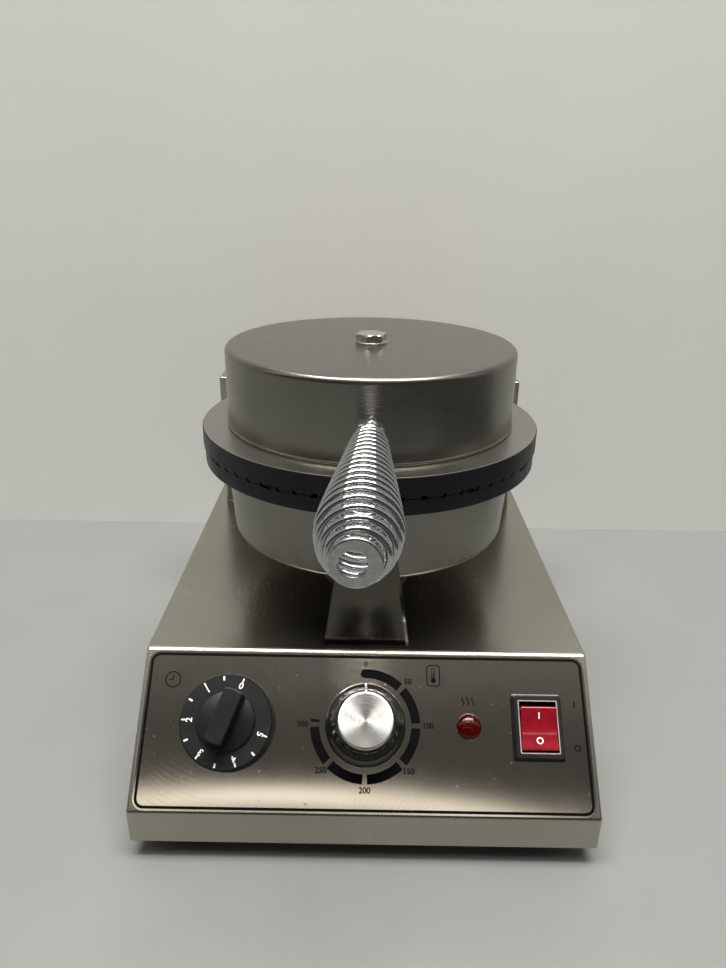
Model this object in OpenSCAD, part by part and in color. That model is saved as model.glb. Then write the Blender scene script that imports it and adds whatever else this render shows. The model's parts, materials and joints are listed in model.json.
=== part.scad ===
// Countertop waffle cone maker: a folded sheet base with a sloping control panel,
// a pair of round baking plates in spun shells, and a lid that hinges at the rear.
// +X is to the right of a user at the front, +Y runs to the rear, +Z is up.
// The origin is on the supporting surface, under the middle of the overall box.

/* [Base] */
// Width of the base
base_w = 240; // [236:1:250]
// Depth of the base from the front lip to the rear wall
base_len = 312; // [308:1:330]
// Height of the deck above the supporting surface
deck_z = 87; // [85:1:90]
// Height of the top of the front lip
lip_z = 29.8; // [29:0.1:31]
// How far the sloping panel runs back
panel_run = 59.8; // [58:0.1:62]
// Thickness of the sheet steel
sheet_t = 1.2; // [1:0.1:1.5]
// Height of the rubber feet, up to the bottom plate
foot_h = 10.8; // [10:0.1:12]
// Radius of the rubber feet
foot_r = 10; // [8:0.5:12]

/* [Baking plates] */
// Distance of the plates' centre from the front lip
pan_reach = 152; // [151:0.5:154]
// Radius of the baking plates
plate_r = 99.5; // [98:0.5:100]
// Height of the joint between the two plates
parting_z = 180.2; // [179:0.1:181]
// Thickness of the upper plate
upper_plate_t = 11.5; // [11:0.1:12]
// Thickness of the lower plate
lower_plate_t = 9.3; // [9:0.1:10]
// Gap left between the closed plates
plate_gap = 0.3; // [0.3:0.05:0.5]
// Spacing of the waffle grid's main grooves
grid_pitch = 19.2; // [16:0.2:24]
// Width of the waffle grid's grooves
grid_w = 1.8; // [1.5:0.1:2.5]
// Depth of the waffle grid's grooves
grid_deep = 1.2; // [1:0.1:1.5]

/* [Shells] */
// Outer radius of the upper shell
shell_r = 84.5; // [84:0.1:85]
// Height of the top of the upper shell
shell_top_z = 237; // [235:0.5:239]
// Radius of the upper shell's top edge
shell_edge_r = 3.2; // [2.4:0.2:4]
// Radius of the lower shell at its bottom
low_shell_r = 83.2; // [82.5:0.1:83.5]
// Height of the underside of the lower shell
low_shell_z = 125.4; // [124:0.1:127]

/* [Handle] */
// Height of the handle's axis
handle_z = 211; // [210:0.5:213]
// Length of the wound coil
coil_len = 125; // [122:0.5:128]
// Diameter of the coil's wire
wire_d = 2.8; // [2.6:0.1:3]
// Largest outer radius of the coil
belly_r = 16.3; // [15.5:0.1:17]
// Sideways set of the handle, in degrees
handle_set = 2.2; // [0:0.1:3]

/* [Hinge] */
// Distance of the hinge tower's front from the lip
tower_reach = 256; // [256:0.5:258]
// Width of the hinge tower
tower_w = 223; // [220:1:226]
// Depth of the hinge tower
tower_depth = 50; // [50:1:51]
// Height of the top of the hinge tower
tower_z = 187.4; // [187:0.1:188]
// Distance of the hinge pin behind the tower's front
pin_back = 16; // [15.5:0.5:16.5]
// Height of the hinge pin
pin_z = 178; // [177.5:0.5:178]
// Radius of the hinge pin
pin_r = 4; // [3.8:0.1:4.2]
// Radial running clearance of the arms on the pin and of the knob shafts
run_gap = 0.05; // [0.03:0.01:0.08]

/* [Controls] */
// Sideways place of the timer knob
timer_x = -72; // [-74:0.5:-70]
// Sideways place of the indicator lamp
lamp_x = 54.3; // [53:0.1:56]
// Sideways place of the power switch
switch_x = 90.2; // [89:0.1:91]
// Distance of the knobs' centres up the slope from the lip
knob_s = 43.8; // [43:0.1:45]
// Radius of the timer knob's skirt
timer_r = 24.2; // [23:0.1:25]
// Radius of the thermostat knob's skirt
thermo_r = 21; // [20:0.1:22]
// Radius of the thermostat knob's metal cap
cap_r = 13.9; // [13:0.1:15]
// Width of the switch frame
switch_w = 27; // [26:0.5:28]
// Height of the switch frame, up the slope
switch_h = 34; // [33:0.5:35]

/* [Hidden] */
$fn = 96;
eps = 0.01;

// Handle: lengths along its own axis, from the shell's wall outwards
nut_gap = 0.3;
nut_t = 6.5;
nut_af = 13;
stud_r = 4;
coil_start = nut_gap + nut_t + 0.3;
end_ring_t = 2.4;
end_ring_r = 9.4;
end_hole_r = 4.9;
end_hole_off = 0.9;
handle_len = coil_start + coil_len + end_ring_t;

// Cable gland on the rear wall
gland_x = 78;
gland_z = 46;
cable_r = 4;
gland_thread_r = 8;
gland_out = 20;
gland_in = 12;

// The overall box is centred on the origin along Y
handle_root = pan_reach - shell_r;
front_reach = handle_root - handle_len * cos(handle_set) - end_ring_r * sin(handle_set);
rear_reach = base_len + gland_out;
lip_y = -(front_reach + rear_reach) / 2;
rear_y = lip_y + base_len;
pan_y = lip_y + pan_reach;
tower_y = lip_y + tower_reach;
pin_y = tower_y + pin_back;

// Sloping panel: angle and length
panel_a = atan2(deck_z - lip_z, panel_run);
panel_len = norm([panel_run, deck_z - lip_z]);

// Control overlay plate on the panel
overlay_t = 0.8;
overlay_w = base_w - 5;
overlay_s0 = 0.9;
overlay_s1 = panel_len - 1.9;
overlay_corner = 6;

// Control parts behind and in front of the panel
shaft_r = 3;
shaft_hole_r = 3.6;
knob_gap = 0.6;
timer_skirt_t = 7;
timer_boss_t = 1.6;
timer_grip_t = 13;
timer_turn = 20;
thermo_skirt_t = 7;
thermo_top = 22;
cap_t = 1.6;
lamp_r = 6.6;
lamp_hole_r = 5;
switch_s = 44;
frame_t = 4;
rocker_w = 18.6;
rocker_h = 24.4;
rocker_tilt = 7;
rocker_pivot = -1;
rocker_rise = 8;

// Plates, shells and what they hold
up_z = parting_z + plate_gap / 2;
low_z = parting_z - plate_gap / 2;
plate_top_z = up_z + upper_plate_t;
plate_bot_z = low_z - lower_plate_t;
shell_t = 1.2;
bead_r = 0.9;
element_r = 58;
element_tube_r = 4;
clamp_r = 68;
clamp_t = 3;
insul_r = 70;
insul_t = 14;
bolt_r = 5;
bolt_hole_r = 5.3;
pedestal_r = 18;
wire_hole_r = 12;

// Hinge
arm_x = 36;
arm_t = 6;
arm_foot_w = 16;
arm_foot_t = 4;
ear_gap = 11;
ear_t = 3;
washer_t = 2.2;
eye_r = 9;
slot_w = 9;
slot_back = 45;
pin_len = 2 * (arm_x + ear_gap / 2 + ear_t) + 12;

// Offsets of a clockwise outline by t towards its inside
function unit(v) = v / norm(v);
function inward(a, b) = let (d = unit(b - a)) [d[1], -d[0]];
function inset(p, t) = let (n = len(p)) [for (i = [0 : n - 1])
    let (n1 = inward(p[(i + n - 1) % n], p[i]), n2 = inward(p[i], p[(i + 1) % n]))
    p[i] + t * (n1 + n2) / (1 + n1 * n2)];

// Side outline of the base, clockwise in the Y-Z plane, starting at the lip's foot
base_side = [[lip_y, foot_h], [lip_y, lip_z], [lip_y + panel_run, deck_z], [rear_y, deck_z],
    [rear_y, foot_h]];

// Extrudes a Y-Z outline to a width along X, centred on x
module across(w, x = 0) {
    translate([x - w / 2, 0, 0]) rotate([90, 0, 90]) linear_extrude(w) children();
}

// Puts its children on the panel: X stays, Y runs up the slope, Z points out of the panel
module on_panel(x = 0, s = 0, out = 0) {
    translate([0, lip_y, lip_z]) rotate([panel_a, 0, 0]) translate([x, s, out]) children();
}

// Puts its children on the handle's axis: Z points outwards from the shell's wall
module on_handle(out = 0) {
    translate([0, pan_y - shell_r, handle_z]) rotate([0, 0, -handle_set]) rotate([90, 0, 0])
        translate([0, 0, out]) children();
}

// Rounded rectangle made of exact arcs
module round_rect(w, h, r) {
    square([w - 2 * r, h], center = true);
    square([w, h - 2 * r], center = true);
    for (x = [-1, 1], y = [-1, 1]) translate([x * (w / 2 - r), y * (h / 2 - r)]) circle(r);
}

// Plain tube
module tube(ro, ri, h) {
    difference() {
        cylinder(r = ro, h = h);
        translate([0, 0, -1]) cylinder(r = ri, h = h + 2);
    }
}

// Hexagon nut or head, af across its flats, with a bore
module hex(af, h, bore = 0) {
    difference() {
        cylinder(d = af / cos(30), h = h, $fn = 6);
        if (bore > 0) translate([0, 0, -1]) cylinder(r = bore, h = h + 2);
    }
}

// Pan-head screw: head above z = 0, shank below
module screw(head_r, head_h, shank_r, shank_l) {
    cylinder(r = head_r, h = head_h);
    translate([0, 0, -shank_l]) cylinder(r = shank_r, h = shank_l + eps);
}

// ---- Base ----

foot_x = 93;
foot_front = 18;
foot_rear = 292;
foot_spots = [for (x = [-foot_x, foot_x], r = [foot_front, foot_rear]) [x, lip_y + r]];
foot_screw_r = 2.5;
foot_cup_r = 5.5;
foot_cup_h = 4;

bracket_y = pin_y;
bracket_len = 28;
bracket_hole_y = [-9, 9];
pedestal_flange_r = 28;
pedestal_screw_ring = 23;
support_w0 = 47;
support_w1 = 29;
support_t = 1.5;
support_top_z = 148;
support_flange = 20;

// Deck holes: wiring holes and screw holes
module deck_holes() {
    h = 3 * sheet_t;
    z = deck_z - 2 * sheet_t;
    translate([0, pan_y, z]) cylinder(r = wire_hole_r, h = h);
    for (a = [45 : 90 : 315]) translate([0, pan_y, z]) rotate(a)
        translate([pedestal_screw_ring, 0, 0]) cylinder(r = 2.1, h = h);
    for (x = [-arm_x, arm_x], y = bracket_hole_y) translate([x, bracket_y + y, z])
        cylinder(r = 2.1, h = h);
    translate([tower_wire_x, pin_y, z]) cylinder(r = 8, h = h);
}
tower_wire_x = 70;

// Holes through the sloping panel, made a little larger in the cover than in the overlay
module panel_holes(grow = 0) {
    translate([timer_x, knob_s, -5]) cylinder(r = shaft_hole_r + grow, h = 10);
    translate([0, knob_s, -5]) cylinder(r = shaft_hole_r + grow, h = 10);
    translate([lamp_x, knob_s, -5]) cylinder(r = lamp_hole_r + grow, h = 10);
    translate([switch_x, switch_s, 0])
        cube([switch_w - 5 + 2 * grow, switch_h - 5 + 2 * grow, 10], center = true);
}

case_screw_z = foot_h + 7;
case_screw_y = [lip_y + 40, lip_y + base_len / 2, rear_y - 40];
case_screw_x = [-80, 0, 80];

module base_cover() color([0.66, 0.64, 0.6]) difference() {
    across(base_w) polygon(base_side);
    across(base_w - 2 * sheet_t) polygon(inset(base_side, sheet_t));
    translate([-base_w / 2 + sheet_t, lip_y + sheet_t, foot_h - 1])
        cube([base_w - 2 * sheet_t, base_len - 2 * sheet_t, 3]);
    on_panel() panel_holes(0.4);
    deck_holes();
    translate([gland_x, rear_y + 2, gland_z]) rotate([90, 0, 0])
        cylinder(r = gland_thread_r + 0.2, h = 6);
    for (y = case_screw_y, x = [-1, 1]) translate([x * (base_w / 2 - 3), y, case_screw_z])
        rotate([0, x * 90, 0]) cylinder(r = 1.7, h = 6);
    for (x = case_screw_x) translate([x, rear_y - 3, case_screw_z]) rotate([-90, 0, 0])
        cylinder(r = 1.7, h = 6);
}

// Tray with turned-up edges that closes the base from below
tray_gap = 0.2;
tray_edge = 12;
module bottom_plate() color([0.6, 0.6, 0.58]) {
    w = base_w - 2 * sheet_t - 2 * tray_gap;
    l = base_len - 2 * sheet_t - 2 * tray_gap;
    difference() {
        translate([-w / 2, lip_y + sheet_t + tray_gap, foot_h]) cube([w, l, tray_edge]);
        translate([-w / 2 + sheet_t, lip_y + 2 * sheet_t + tray_gap, foot_h + sheet_t])
            cube([w - 2 * sheet_t, l - 2 * sheet_t, tray_edge]);
        for (p = foot_spots) translate([p[0], p[1], foot_h - 1]) cylinder(r = foot_screw_r + 0.1, h = 4);
        for (x = [-60 : 12 : 60], y = [90, 200]) translate([x, lip_y + y, foot_h + sheet_t / 2])
            cube([4, 40, 4], center = true);
        for (y = case_screw_y, x = [-1, 1]) translate([x * (base_w / 2 - 5), y, case_screw_z])
            rotate([0, x * 90, 0]) cylinder(r = 1.3, h = 6);
        for (x = case_screw_x) translate([x, rear_y - 5, case_screw_z]) rotate([-90, 0, 0])
            cylinder(r = 1.3, h = 6);
    }
}

module rubber_feet() color([0.06, 0.06, 0.06]) for (p = foot_spots) translate([p[0], p[1], 0])
    difference() {
        union() {
            cylinder(r1 = foot_r - 1.5, r2 = foot_r, h = 3);
            translate([0, 0, 3]) cylinder(r = foot_r, h = foot_h - 3);
        }
        translate([0, 0, -1]) cylinder(r = foot_cup_r, h = foot_cup_h + 1);
        cylinder(r = foot_screw_r, h = foot_h + 1);
    }

module foot_screws() color([0.7, 0.7, 0.7]) for (p = foot_spots) {
    translate([p[0], p[1], foot_cup_h]) mirror([0, 0, 1])
        screw(4.5, 2.2, foot_screw_r - 0.05, foot_h - foot_cup_h + sheet_t + 4);
    translate([p[0], p[1], foot_h + sheet_t]) hex(8, 3.2, foot_screw_r);
}

module case_screws() color([0.7, 0.7, 0.7]) {
    for (y = case_screw_y, x = [-1, 1]) translate([x * base_w / 2, y, case_screw_z])
        rotate([0, x * 90, 0]) screw_inset();
    for (x = case_screw_x) translate([x, rear_y, case_screw_z]) rotate([-90, 0, 0]) screw_inset();
}
module screw_inset() {
    screw(2.8, 1.4, 1.25, 5);
}

// ---- Control panel ----

module control_overlay() color([0.7, 0.68, 0.63]) on_panel() difference() {
    translate([0, (overlay_s0 + overlay_s1) / 2, 0]) linear_extrude(overlay_t)
        round_rect(overlay_w, overlay_s1 - overlay_s0, overlay_corner);
    panel_holes();
}

// Clockwork timer: a square case held behind the panel by its threaded neck
timer_case = [38, 38, 24];
neck_r = 5;
module timer_body() color([0.85, 0.83, 0.75]) on_panel(timer_x, knob_s) difference() {
    union() {
        translate([-timer_case[0] / 2, -timer_case[1] / 2, -sheet_t - 2 - timer_case[2]])
            cube(timer_case);
        translate([0, 0, -sheet_t - 2]) cylinder(r = neck_r + 2, h = 2);
    }
    translate([0, 0, -sheet_t - 14]) cylinder(r = shaft_r + run_gap, h = 20);
}

module timer_shaft() color([0.75, 0.75, 0.75]) on_panel(timer_x, knob_s)
    translate([0, 0, -sheet_t - 12]) cylinder(r = shaft_r, h = sheet_t + 12 + knob_gap + 10);

// Timer knob: a numbered skirt, a low boss and a grip bar with round ends
grip_w = 10;
grip_back = 12.5;
grip_front = 15.5;
module timer_knob() color([0.05, 0.05, 0.05])
    on_panel(timer_x, knob_s, overlay_t + knob_gap) rotate(-timer_turn) difference() {
        union() {
            cylinder(r = timer_r, h = timer_skirt_t - 1);
            translate([0, 0, timer_skirt_t - 1]) cylinder(r1 = timer_r, r2 = timer_r - 0.8, h = 1);
            translate([0, 0, timer_skirt_t]) cylinder(r = 15, h = timer_boss_t);
            translate([0, 0, timer_skirt_t]) intersection() {
                translate([-grip_w / 2, -grip_back, 0])
                    cube([grip_w, grip_back + grip_front, timer_grip_t]);
                translate([0, (grip_front - grip_back) / 2, 0])
                    cylinder(r = (grip_front + grip_back) / 2, h = timer_grip_t);
            }
        }
        translate([0, 0, -1]) cylinder(r = shaft_r, h = 11 - overlay_t);
    }

// Capillary thermostat behind the middle of the panel
thermo_case = [34, 30, 22];
module thermostat_body() color([0.8, 0.78, 0.7]) on_panel(0, knob_s) difference() {
    union() {
        translate([-thermo_case[0] / 2, -thermo_case[1] / 2, -sheet_t - 2 - thermo_case[2]])
            cube(thermo_case);
        translate([0, 0, -sheet_t - 2]) cylinder(r = neck_r + 2, h = 2);
    }
    translate([0, 0, -sheet_t - 14]) cylinder(r = shaft_r + run_gap, h = 20);
    translate([0, -thermo_case[1] / 2 - 1, -sheet_t - 16]) rotate([-90, 0, 0])
        cylinder(r = capillary_r, h = 4);
}

module thermostat_shaft() color([0.75, 0.75, 0.75]) on_panel(0, knob_s)
    translate([0, 0, -sheet_t - 12]) cylinder(r = shaft_r, h = sheet_t + 12 + knob_gap + 12);

// Thermostat knob: a skirt, a fluted body and a seat for the metal cap
flutes = 20;
body_r1 = 18.2;
body_r2 = 15.6;
module thermostat_knob() color([0.03, 0.03, 0.03])
    on_panel(0, knob_s, overlay_t + knob_gap) difference() {
        union() {
            cylinder(r = thermo_r, h = 3);
            translate([0, 0, 3]) cylinder(r1 = thermo_r, r2 = body_r1, h = thermo_skirt_t - 3);
            translate([0, 0, thermo_skirt_t])
                cylinder(r1 = body_r1, r2 = body_r2, h = thermo_top - thermo_skirt_t);
        }
        for (i = [0.5 : 1 : flutes]) rotate(i * 360 / flutes)
            translate([body_r1 + 0.9, 0, thermo_skirt_t]) rotate([0, -4, 0])
                cylinder(r = 1.7, h = thermo_top);
        translate([0, 0, thermo_top - cap_t]) cylinder(r = cap_r, h = 2 * cap_t);
        translate([0, 0, -1]) cylinder(r = shaft_r, h = 13 - overlay_t);
    }

module thermostat_cap() color([0.85, 0.85, 0.84])
    on_panel(0, knob_s, overlay_t + knob_gap + thermo_top - cap_t) {
        cylinder(r = cap_r, h = cap_t + 1);
        translate([0, 0, cap_t + 1]) cylinder(r1 = cap_r, r2 = cap_r - 0.6, h = 0.6);
    }

// Capillary tube from the thermostat, through the pedestal, to the bulb under the lower plate
capillary_r = 1;
cap_drop_z = 26;
function panel_point(x, s, out) = [x, lip_y + s * cos(panel_a) - out * sin(panel_a),
    lip_z + s * sin(panel_a) + out * cos(panel_a)];
capillary_sides = 12;
// Across-direction of a tube at point i of a route in the Y-Z plane, mitred at the bends
function tube_side(p, i) = let (a = i > 0 ? p[i] - p[i - 1] : p[1] - p[0],
    b = i < len(p) - 1 ? p[i + 1] - p[i] : a, m = [0, -a[2], a[1]] / norm(a) + [0, -b[2], b[1]] / norm(b))
    2 * m / (m * m);
module capillary_tube() color([0.8, 0.5, 0.3]) {
    route = [panel_point(0, knob_s - thermo_case[1] / 2 + 2.9, -sheet_t - 16),
        panel_point(0, knob_s - thermo_case[1] / 2 - 8, -sheet_t - 16), [0, lip_y + 36, cap_drop_z],
        [0, pan_y + bulb_y, cap_drop_z], [0, pan_y + bulb_y, bulb_z - 1]];
    points = [for (i = [0 : len(route) - 1], j = [0 : capillary_sides - 1])
        let (a = 360 * j / capillary_sides) route[i] + capillary_r * (cos(a) * [1, 0, 0]
            + sin(a) * tube_side(route, i))];
    sides = [for (i = [0 : len(route) - 2], j = [0 : capillary_sides - 1])
        let (k = (j + 1) % capillary_sides) [i * capillary_sides + j, i * capillary_sides + k,
            (i + 1) * capillary_sides + k, (i + 1) * capillary_sides + j]];
    last = (len(route) - 1) * capillary_sides;
    polyhedron(points, concat(sides, [[for (j = [capillary_sides - 1 : -1 : 0]) j]],
        [[for (j = [0 : capillary_sides - 1]) last + j]]));
}

// Sensor bulb clipped across the lower plate's back
bulb_r = 2.5;
bulb_len = 60;
bulb_y = -10;
bulb_z = low_z - lower_plate_t - bulb_r - 0.2;
module sensor_bulb() color([0.75, 0.72, 0.68]) difference() {
    translate([-bulb_len / 2, pan_y + bulb_y, bulb_z]) rotate([0, 90, 0])
        cylinder(r = bulb_r, h = bulb_len);
    translate([0, pan_y + bulb_y, bulb_z - 4]) cylinder(r = capillary_r, h = 3);
}

// Indicator lamp: a domed lens in front, a body behind
module lamp_lens() color([0.6, 0.02, 0.02]) on_panel(lamp_x, knob_s) {
    translate([0, 0, overlay_t]) intersection() {
        cylinder(r = lamp_r, h = 6);
        translate([0, 0, 4.4 - 9]) sphere(9);
    }
    translate([0, 0, -1]) cylinder(r = lamp_hole_r - 0.1, h = 1 + overlay_t + eps);
}
module lamp_body() color([0.9, 0.9, 0.88]) on_panel(lamp_x, knob_s) {
    translate([0, 0, -26]) cylinder(r = lamp_hole_r - 0.2, h = 25);
    translate([0, 0, -sheet_t - 2.6]) tube(8, lamp_hole_r, 2.4);
}

// Rocker switch: a frame with a body behind the panel, and the rocker in its well
well_deep = 11;
module switch_frame() color([0.07, 0.07, 0.07]) on_panel(switch_x, switch_s) difference() {
    union() {
        translate([0, 0, overlay_t]) linear_extrude(1.6) round_rect(switch_w, switch_h, 1.5);
        translate([0, 0, overlay_t + 1.6]) linear_extrude(frame_t - 1.6)
            round_rect(switch_w - 2.4, switch_h - 2.4, 1.5);
        translate([-switch_w / 2 + 2.7, -switch_h / 2 + 2.7, -20])
            cube([switch_w - 5.4, switch_h - 5.4, 21]);
    }
    translate([-rocker_w / 2 - 0.5, -rocker_h / 2 - 0.6, overlay_t + frame_t - well_deep])
        cube([rocker_w + 1, rocker_h + 1.2, well_deep + 1]);
    translate([-switch_w, 0, rocker_pivot]) rotate([0, 90, 0]) cylinder(r = 1.3 + run_gap, h = 2 * switch_w);
}

// Rocker: a body with a shallow V top, at rest tipped so that its lower end is pressed in
module power_rocker() color([0.75, 0.03, 0.05]) on_panel(switch_x, switch_s, rocker_pivot)
    rotate([rocker_tilt, 0, 0]) {
        half = rocker_h / 2 - 1.2;
        across(rocker_w) polygon([[-half + 2, -2.4], [-half, rocker_rise - 1], [-half + 0.6, rocker_rise],
            [0, rocker_rise - 1.4], [half - 0.6, rocker_rise], [half, rocker_rise - 1],
            [half - 2, -2.4]]);
        translate([-rocker_w / 2 - 1.2, 0, 0]) rotate([0, 90, 0]) cylinder(r = 1.3, h = rocker_w + 2.4);
    }

// Terminal block on the bottom plate
terminal_n = 5;
terminal_pitch = 11;
terminal_y = rear_y - 62;
module terminal_block() color([0.9, 0.9, 0.86]) translate([30, terminal_y, foot_h + sheet_t])
    difference() {
        cube([terminal_n * terminal_pitch, 20, 16]);
        for (i = [0 : terminal_n - 1]) translate([(i + 0.5) * terminal_pitch, 10, 6])
            cylinder(r = 2.5, h = 12);
    }
module terminal_screws() color([0.8, 0.75, 0.5]) for (i = [0 : terminal_n - 1])
    translate([30 + (i + 0.5) * terminal_pitch, terminal_y + 10, foot_h + sheet_t + 6])
        cylinder(r = 2.4, h = 6);

// Cable gland in the rear wall: a flanged body with the cable's bore, and its lock nut inside
module gland_body() color([0.08, 0.08, 0.08]) translate([gland_x, rear_y, gland_z])
    rotate([-90, 0, 0]) difference() {
        union() {
            translate([0, 0, -gland_in]) cylinder(r = gland_thread_r, h = gland_in + 1);
            hex(22, 6);
            translate([0, 0, 6]) cylinder(r = 10, h = 8);
            translate([0, 0, 14]) cylinder(r1 = 10, r2 = 7, h = gland_out - 14);
        }
        translate([0, 0, -gland_in - 1]) cylinder(r = cable_r, h = gland_in + gland_out + 2);
    }
module gland_nut() color([0.08, 0.08, 0.08]) translate([gland_x, rear_y - sheet_t - 5, gland_z])
    rotate([-90, 0, 0]) hex(20, 5, gland_thread_r);

// ---- Support of the lower pan ----

// Front support: a plate that narrows upwards, with side flanges reaching under the pan
function support_w(z) = support_w0 + (support_w1 - support_w0) * (z - deck_z) / (support_top_z - deck_z);
module front_support() color([0.62, 0.6, 0.54]) {
    front = pan_y - low_top_r - 0.3;
    flange_z = low_shell_z - 0.1;
    translate([0, front + support_t, 0]) rotate([90, 0, 0]) linear_extrude(support_t)
        polygon([[-support_w0 / 2, deck_z], [-support_w(support_top_z) / 2, support_top_z],
            [support_w(support_top_z) / 2, support_top_z], [support_w0 / 2, deck_z]]);
    for (m = [0, 1]) mirror([m, 0, 0]) intersection() {
        translate([0, front + support_flange, 0]) rotate([90, 0, 0])
            linear_extrude(support_flange) polygon([[support_w0 / 2 - support_t, deck_z],
                [support_w(flange_z) / 2 - support_t, flange_z], [support_w(flange_z) / 2, flange_z],
                [support_w0 / 2, deck_z]]);
        across(support_w0) polygon([[front, deck_z], [front, flange_z],
            [front + support_flange, flange_z], [front + support_flange, deck_z]]);
    }
    translate([-support_w0 / 2, front - 2.5, deck_z]) cube([support_w0, 2.5 + eps, support_t]);
}

// Hollow pedestal between the deck and the lower shell; the wires run down inside it
pedestal_t = 2;
module pan_pedestal() color([0.55, 0.55, 0.53]) translate([0, pan_y, deck_z]) difference() {
    union() {
        cylinder(r = pedestal_flange_r, h = pedestal_t);
        cylinder(r = pedestal_r, h = low_shell_z - deck_z);
    }
    translate([0, 0, -1]) cylinder(r = pedestal_r - pedestal_t, h = low_shell_z - deck_z + 2);
    for (a = [45 : 90 : 315]) rotate(a) translate([pedestal_screw_ring, 0, -1])
        cylinder(r = 2.1, h = 6);
}
module pedestal_screws() color([0.7, 0.7, 0.7]) translate([0, pan_y, 0])
    for (a = [45 : 90 : 315]) rotate(a) translate([pedestal_screw_ring, 0, deck_z + pedestal_t])
        screw(3.6, 2, 2, pedestal_t + sheet_t + 5);

// ---- Lower pan ----

// Half section of a cup that widens upwards, with a round bottom edge
module cup_section(r0, r1, h, c) {
    polygon([[0, 0], [r0 - c, 0], [r0, c], [r1, h], [0, h]]);
    translate([r0 - c, c]) circle(c, $fn = 48);
}
low_edge_r = 4;
low_top_r = 86.4;
module lower_shell() color([0.58, 0.57, 0.52]) translate([0, pan_y, low_shell_z]) difference() {
    h = plate_bot_z - low_shell_z;
    rotate_extrude() intersection() {
        square([200, h]);
        difference() {
            cup_section(low_shell_r, low_top_r, h, low_edge_r);
            translate([0, shell_t])
                cup_section(low_shell_r - shell_t, low_top_r - shell_t, h, low_edge_r - shell_t);
        }
    }
    translate([0, 0, -1]) cylinder(r = wire_hole_r, h = 4);
}

// Grooves that make the diamond waffle grid, cut from the face at z = 0 upwards
grid_lines = floor(plate_r / grid_pitch);
module grid_cuts() rotate(45) {
    for (i = [-grid_lines : grid_lines]) {
        translate([i * grid_pitch - grid_w / 2, -plate_r - 1, -1])
            cube([grid_w, 2 * plate_r + 2, grid_deep + 1]);
        translate([-plate_r - 1, i * grid_pitch - grid_w / 2, -1])
            cube([2 * plate_r + 2, grid_w, grid_deep + 1]);
    }
}

module lower_plate() color([0.12, 0.12, 0.14]) translate([0, pan_y, low_z]) mirror([0, 0, 1])
    difference() {
        cylinder(r = plate_r - 0.8, h = lower_plate_t);
        grid_cuts();
        translate([0, 0, lower_plate_t - 4]) cylinder(r = bolt_r - 0.5, h = 5);
    }

// Tubular heating element: a ring that lies on the plate's back
module element_ring(z) {
    translate([0, pan_y, z]) rotate_extrude() translate([element_r, 0]) circle(element_tube_r, $fn = 48);
}
module lower_element() color([0.35, 0.33, 0.3])
    element_ring(plate_bot_z - element_tube_r - 0.05);

clamp_gap = 2 * element_tube_r + 0.1;
module clamp_plate() tube(clamp_r, bolt_hole_r, clamp_t);
module lower_clamp_plate() color([0.5, 0.5, 0.5])
    translate([0, pan_y, plate_bot_z - clamp_gap - clamp_t]) difference() {
        clamp_plate();
        translate([0, bulb_y, -1]) cylinder(r = capillary_r + 0.6, h = clamp_t + 2);
    }

module lower_insulation() color([0.85, 0.83, 0.78])
    translate([0, pan_y, plate_bot_z - clamp_gap - clamp_t - insul_t - 0.1]) tube(insul_r, 16, insul_t);

// Bolt that draws the clamp plate and the element up to the lower plate
module lower_centre_bolt() color([0.7, 0.7, 0.7])
    translate([0, pan_y, plate_bot_z - clamp_gap - clamp_t]) {
        translate([0, 0, -6]) hex(17, 6);
        cylinder(r = bolt_r - 0.5, h = clamp_gap + clamp_t + 3.5);
    }

// ---- Hinge tower ----

tower_t = 1.2;
tower_screw_x = [-90, 90];
module tower_outline() {
    polygon([[tower_y, deck_z], [tower_y, tower_z], [tower_y + tower_depth, tower_z],
        [tower_y + tower_depth, deck_z]]);
}
// Slot for one hinge arm: through the top and a little way down the front
module arm_slot(x) {
    translate([x - slot_w / 2, tower_y - 1, tower_z - 12]) cube([slot_w, 1 + slot_back, 14]);
}
module hinge_tower() color([0.64, 0.62, 0.56]) difference() {
    across(tower_w) tower_outline();
    translate([-tower_w / 2 + tower_t, tower_y + tower_t, deck_z - 1])
        cube([tower_w - 2 * tower_t, tower_depth - 2 * tower_t, tower_z - deck_z + 1 - tower_t]);
    for (x = [-arm_x, arm_x]) arm_slot(x);
    translate([tower_wire_x, tower_y + tower_depth / 2, tower_z - 3]) cylinder(r = 6, h = 6);
    for (x = tower_screw_x) translate([x, tower_y + tower_depth - 3, deck_z + 15])
        rotate([-90, 0, 0]) cylinder(r = 1.8, h = 6);
}
// Screws in the tower's rear face, into nut plates inside
module tower_screws() color([0.7, 0.7, 0.7]) for (x = tower_screw_x)
    translate([x, tower_y + tower_depth, deck_z + 15]) rotate([-90, 0, 0]) {
        screw(3.2, 1.8, 1.7, 8);
        translate([0, 0, -tower_t - 3]) hex(7, 3, 1.7);
    }

// Hinge bracket: a channel on the deck with two ears that hold the pin
ear_w = 26;
ear_top = pin_z + 7;
module hinge_bracket(x) {
    w = ear_gap + 2 * ear_t;
    difference() {
        union() {
            translate([x - w / 2 - 4, bracket_y - bracket_len / 2, deck_z]) cube([w + 8, bracket_len, ear_t]);
            for (m = [-1, 1]) translate([x + m * (ear_gap + ear_t) / 2 - ear_t / 2,
                bracket_y - ear_w / 2, deck_z]) cube([ear_t, ear_w, ear_top - deck_z]);
        }
        translate([x - w, pin_y, pin_z]) rotate([0, 90, 0]) cylinder(r = pin_r, h = 2 * w);
        for (y = bracket_hole_y) translate([x, bracket_y + y, deck_z - 1]) cylinder(r = 2.1, h = 6);
    }
}
module left_hinge_bracket() color([0.5, 0.5, 0.48]) hinge_bracket(-arm_x);
module right_hinge_bracket() color([0.5, 0.5, 0.48]) hinge_bracket(arm_x);
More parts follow.
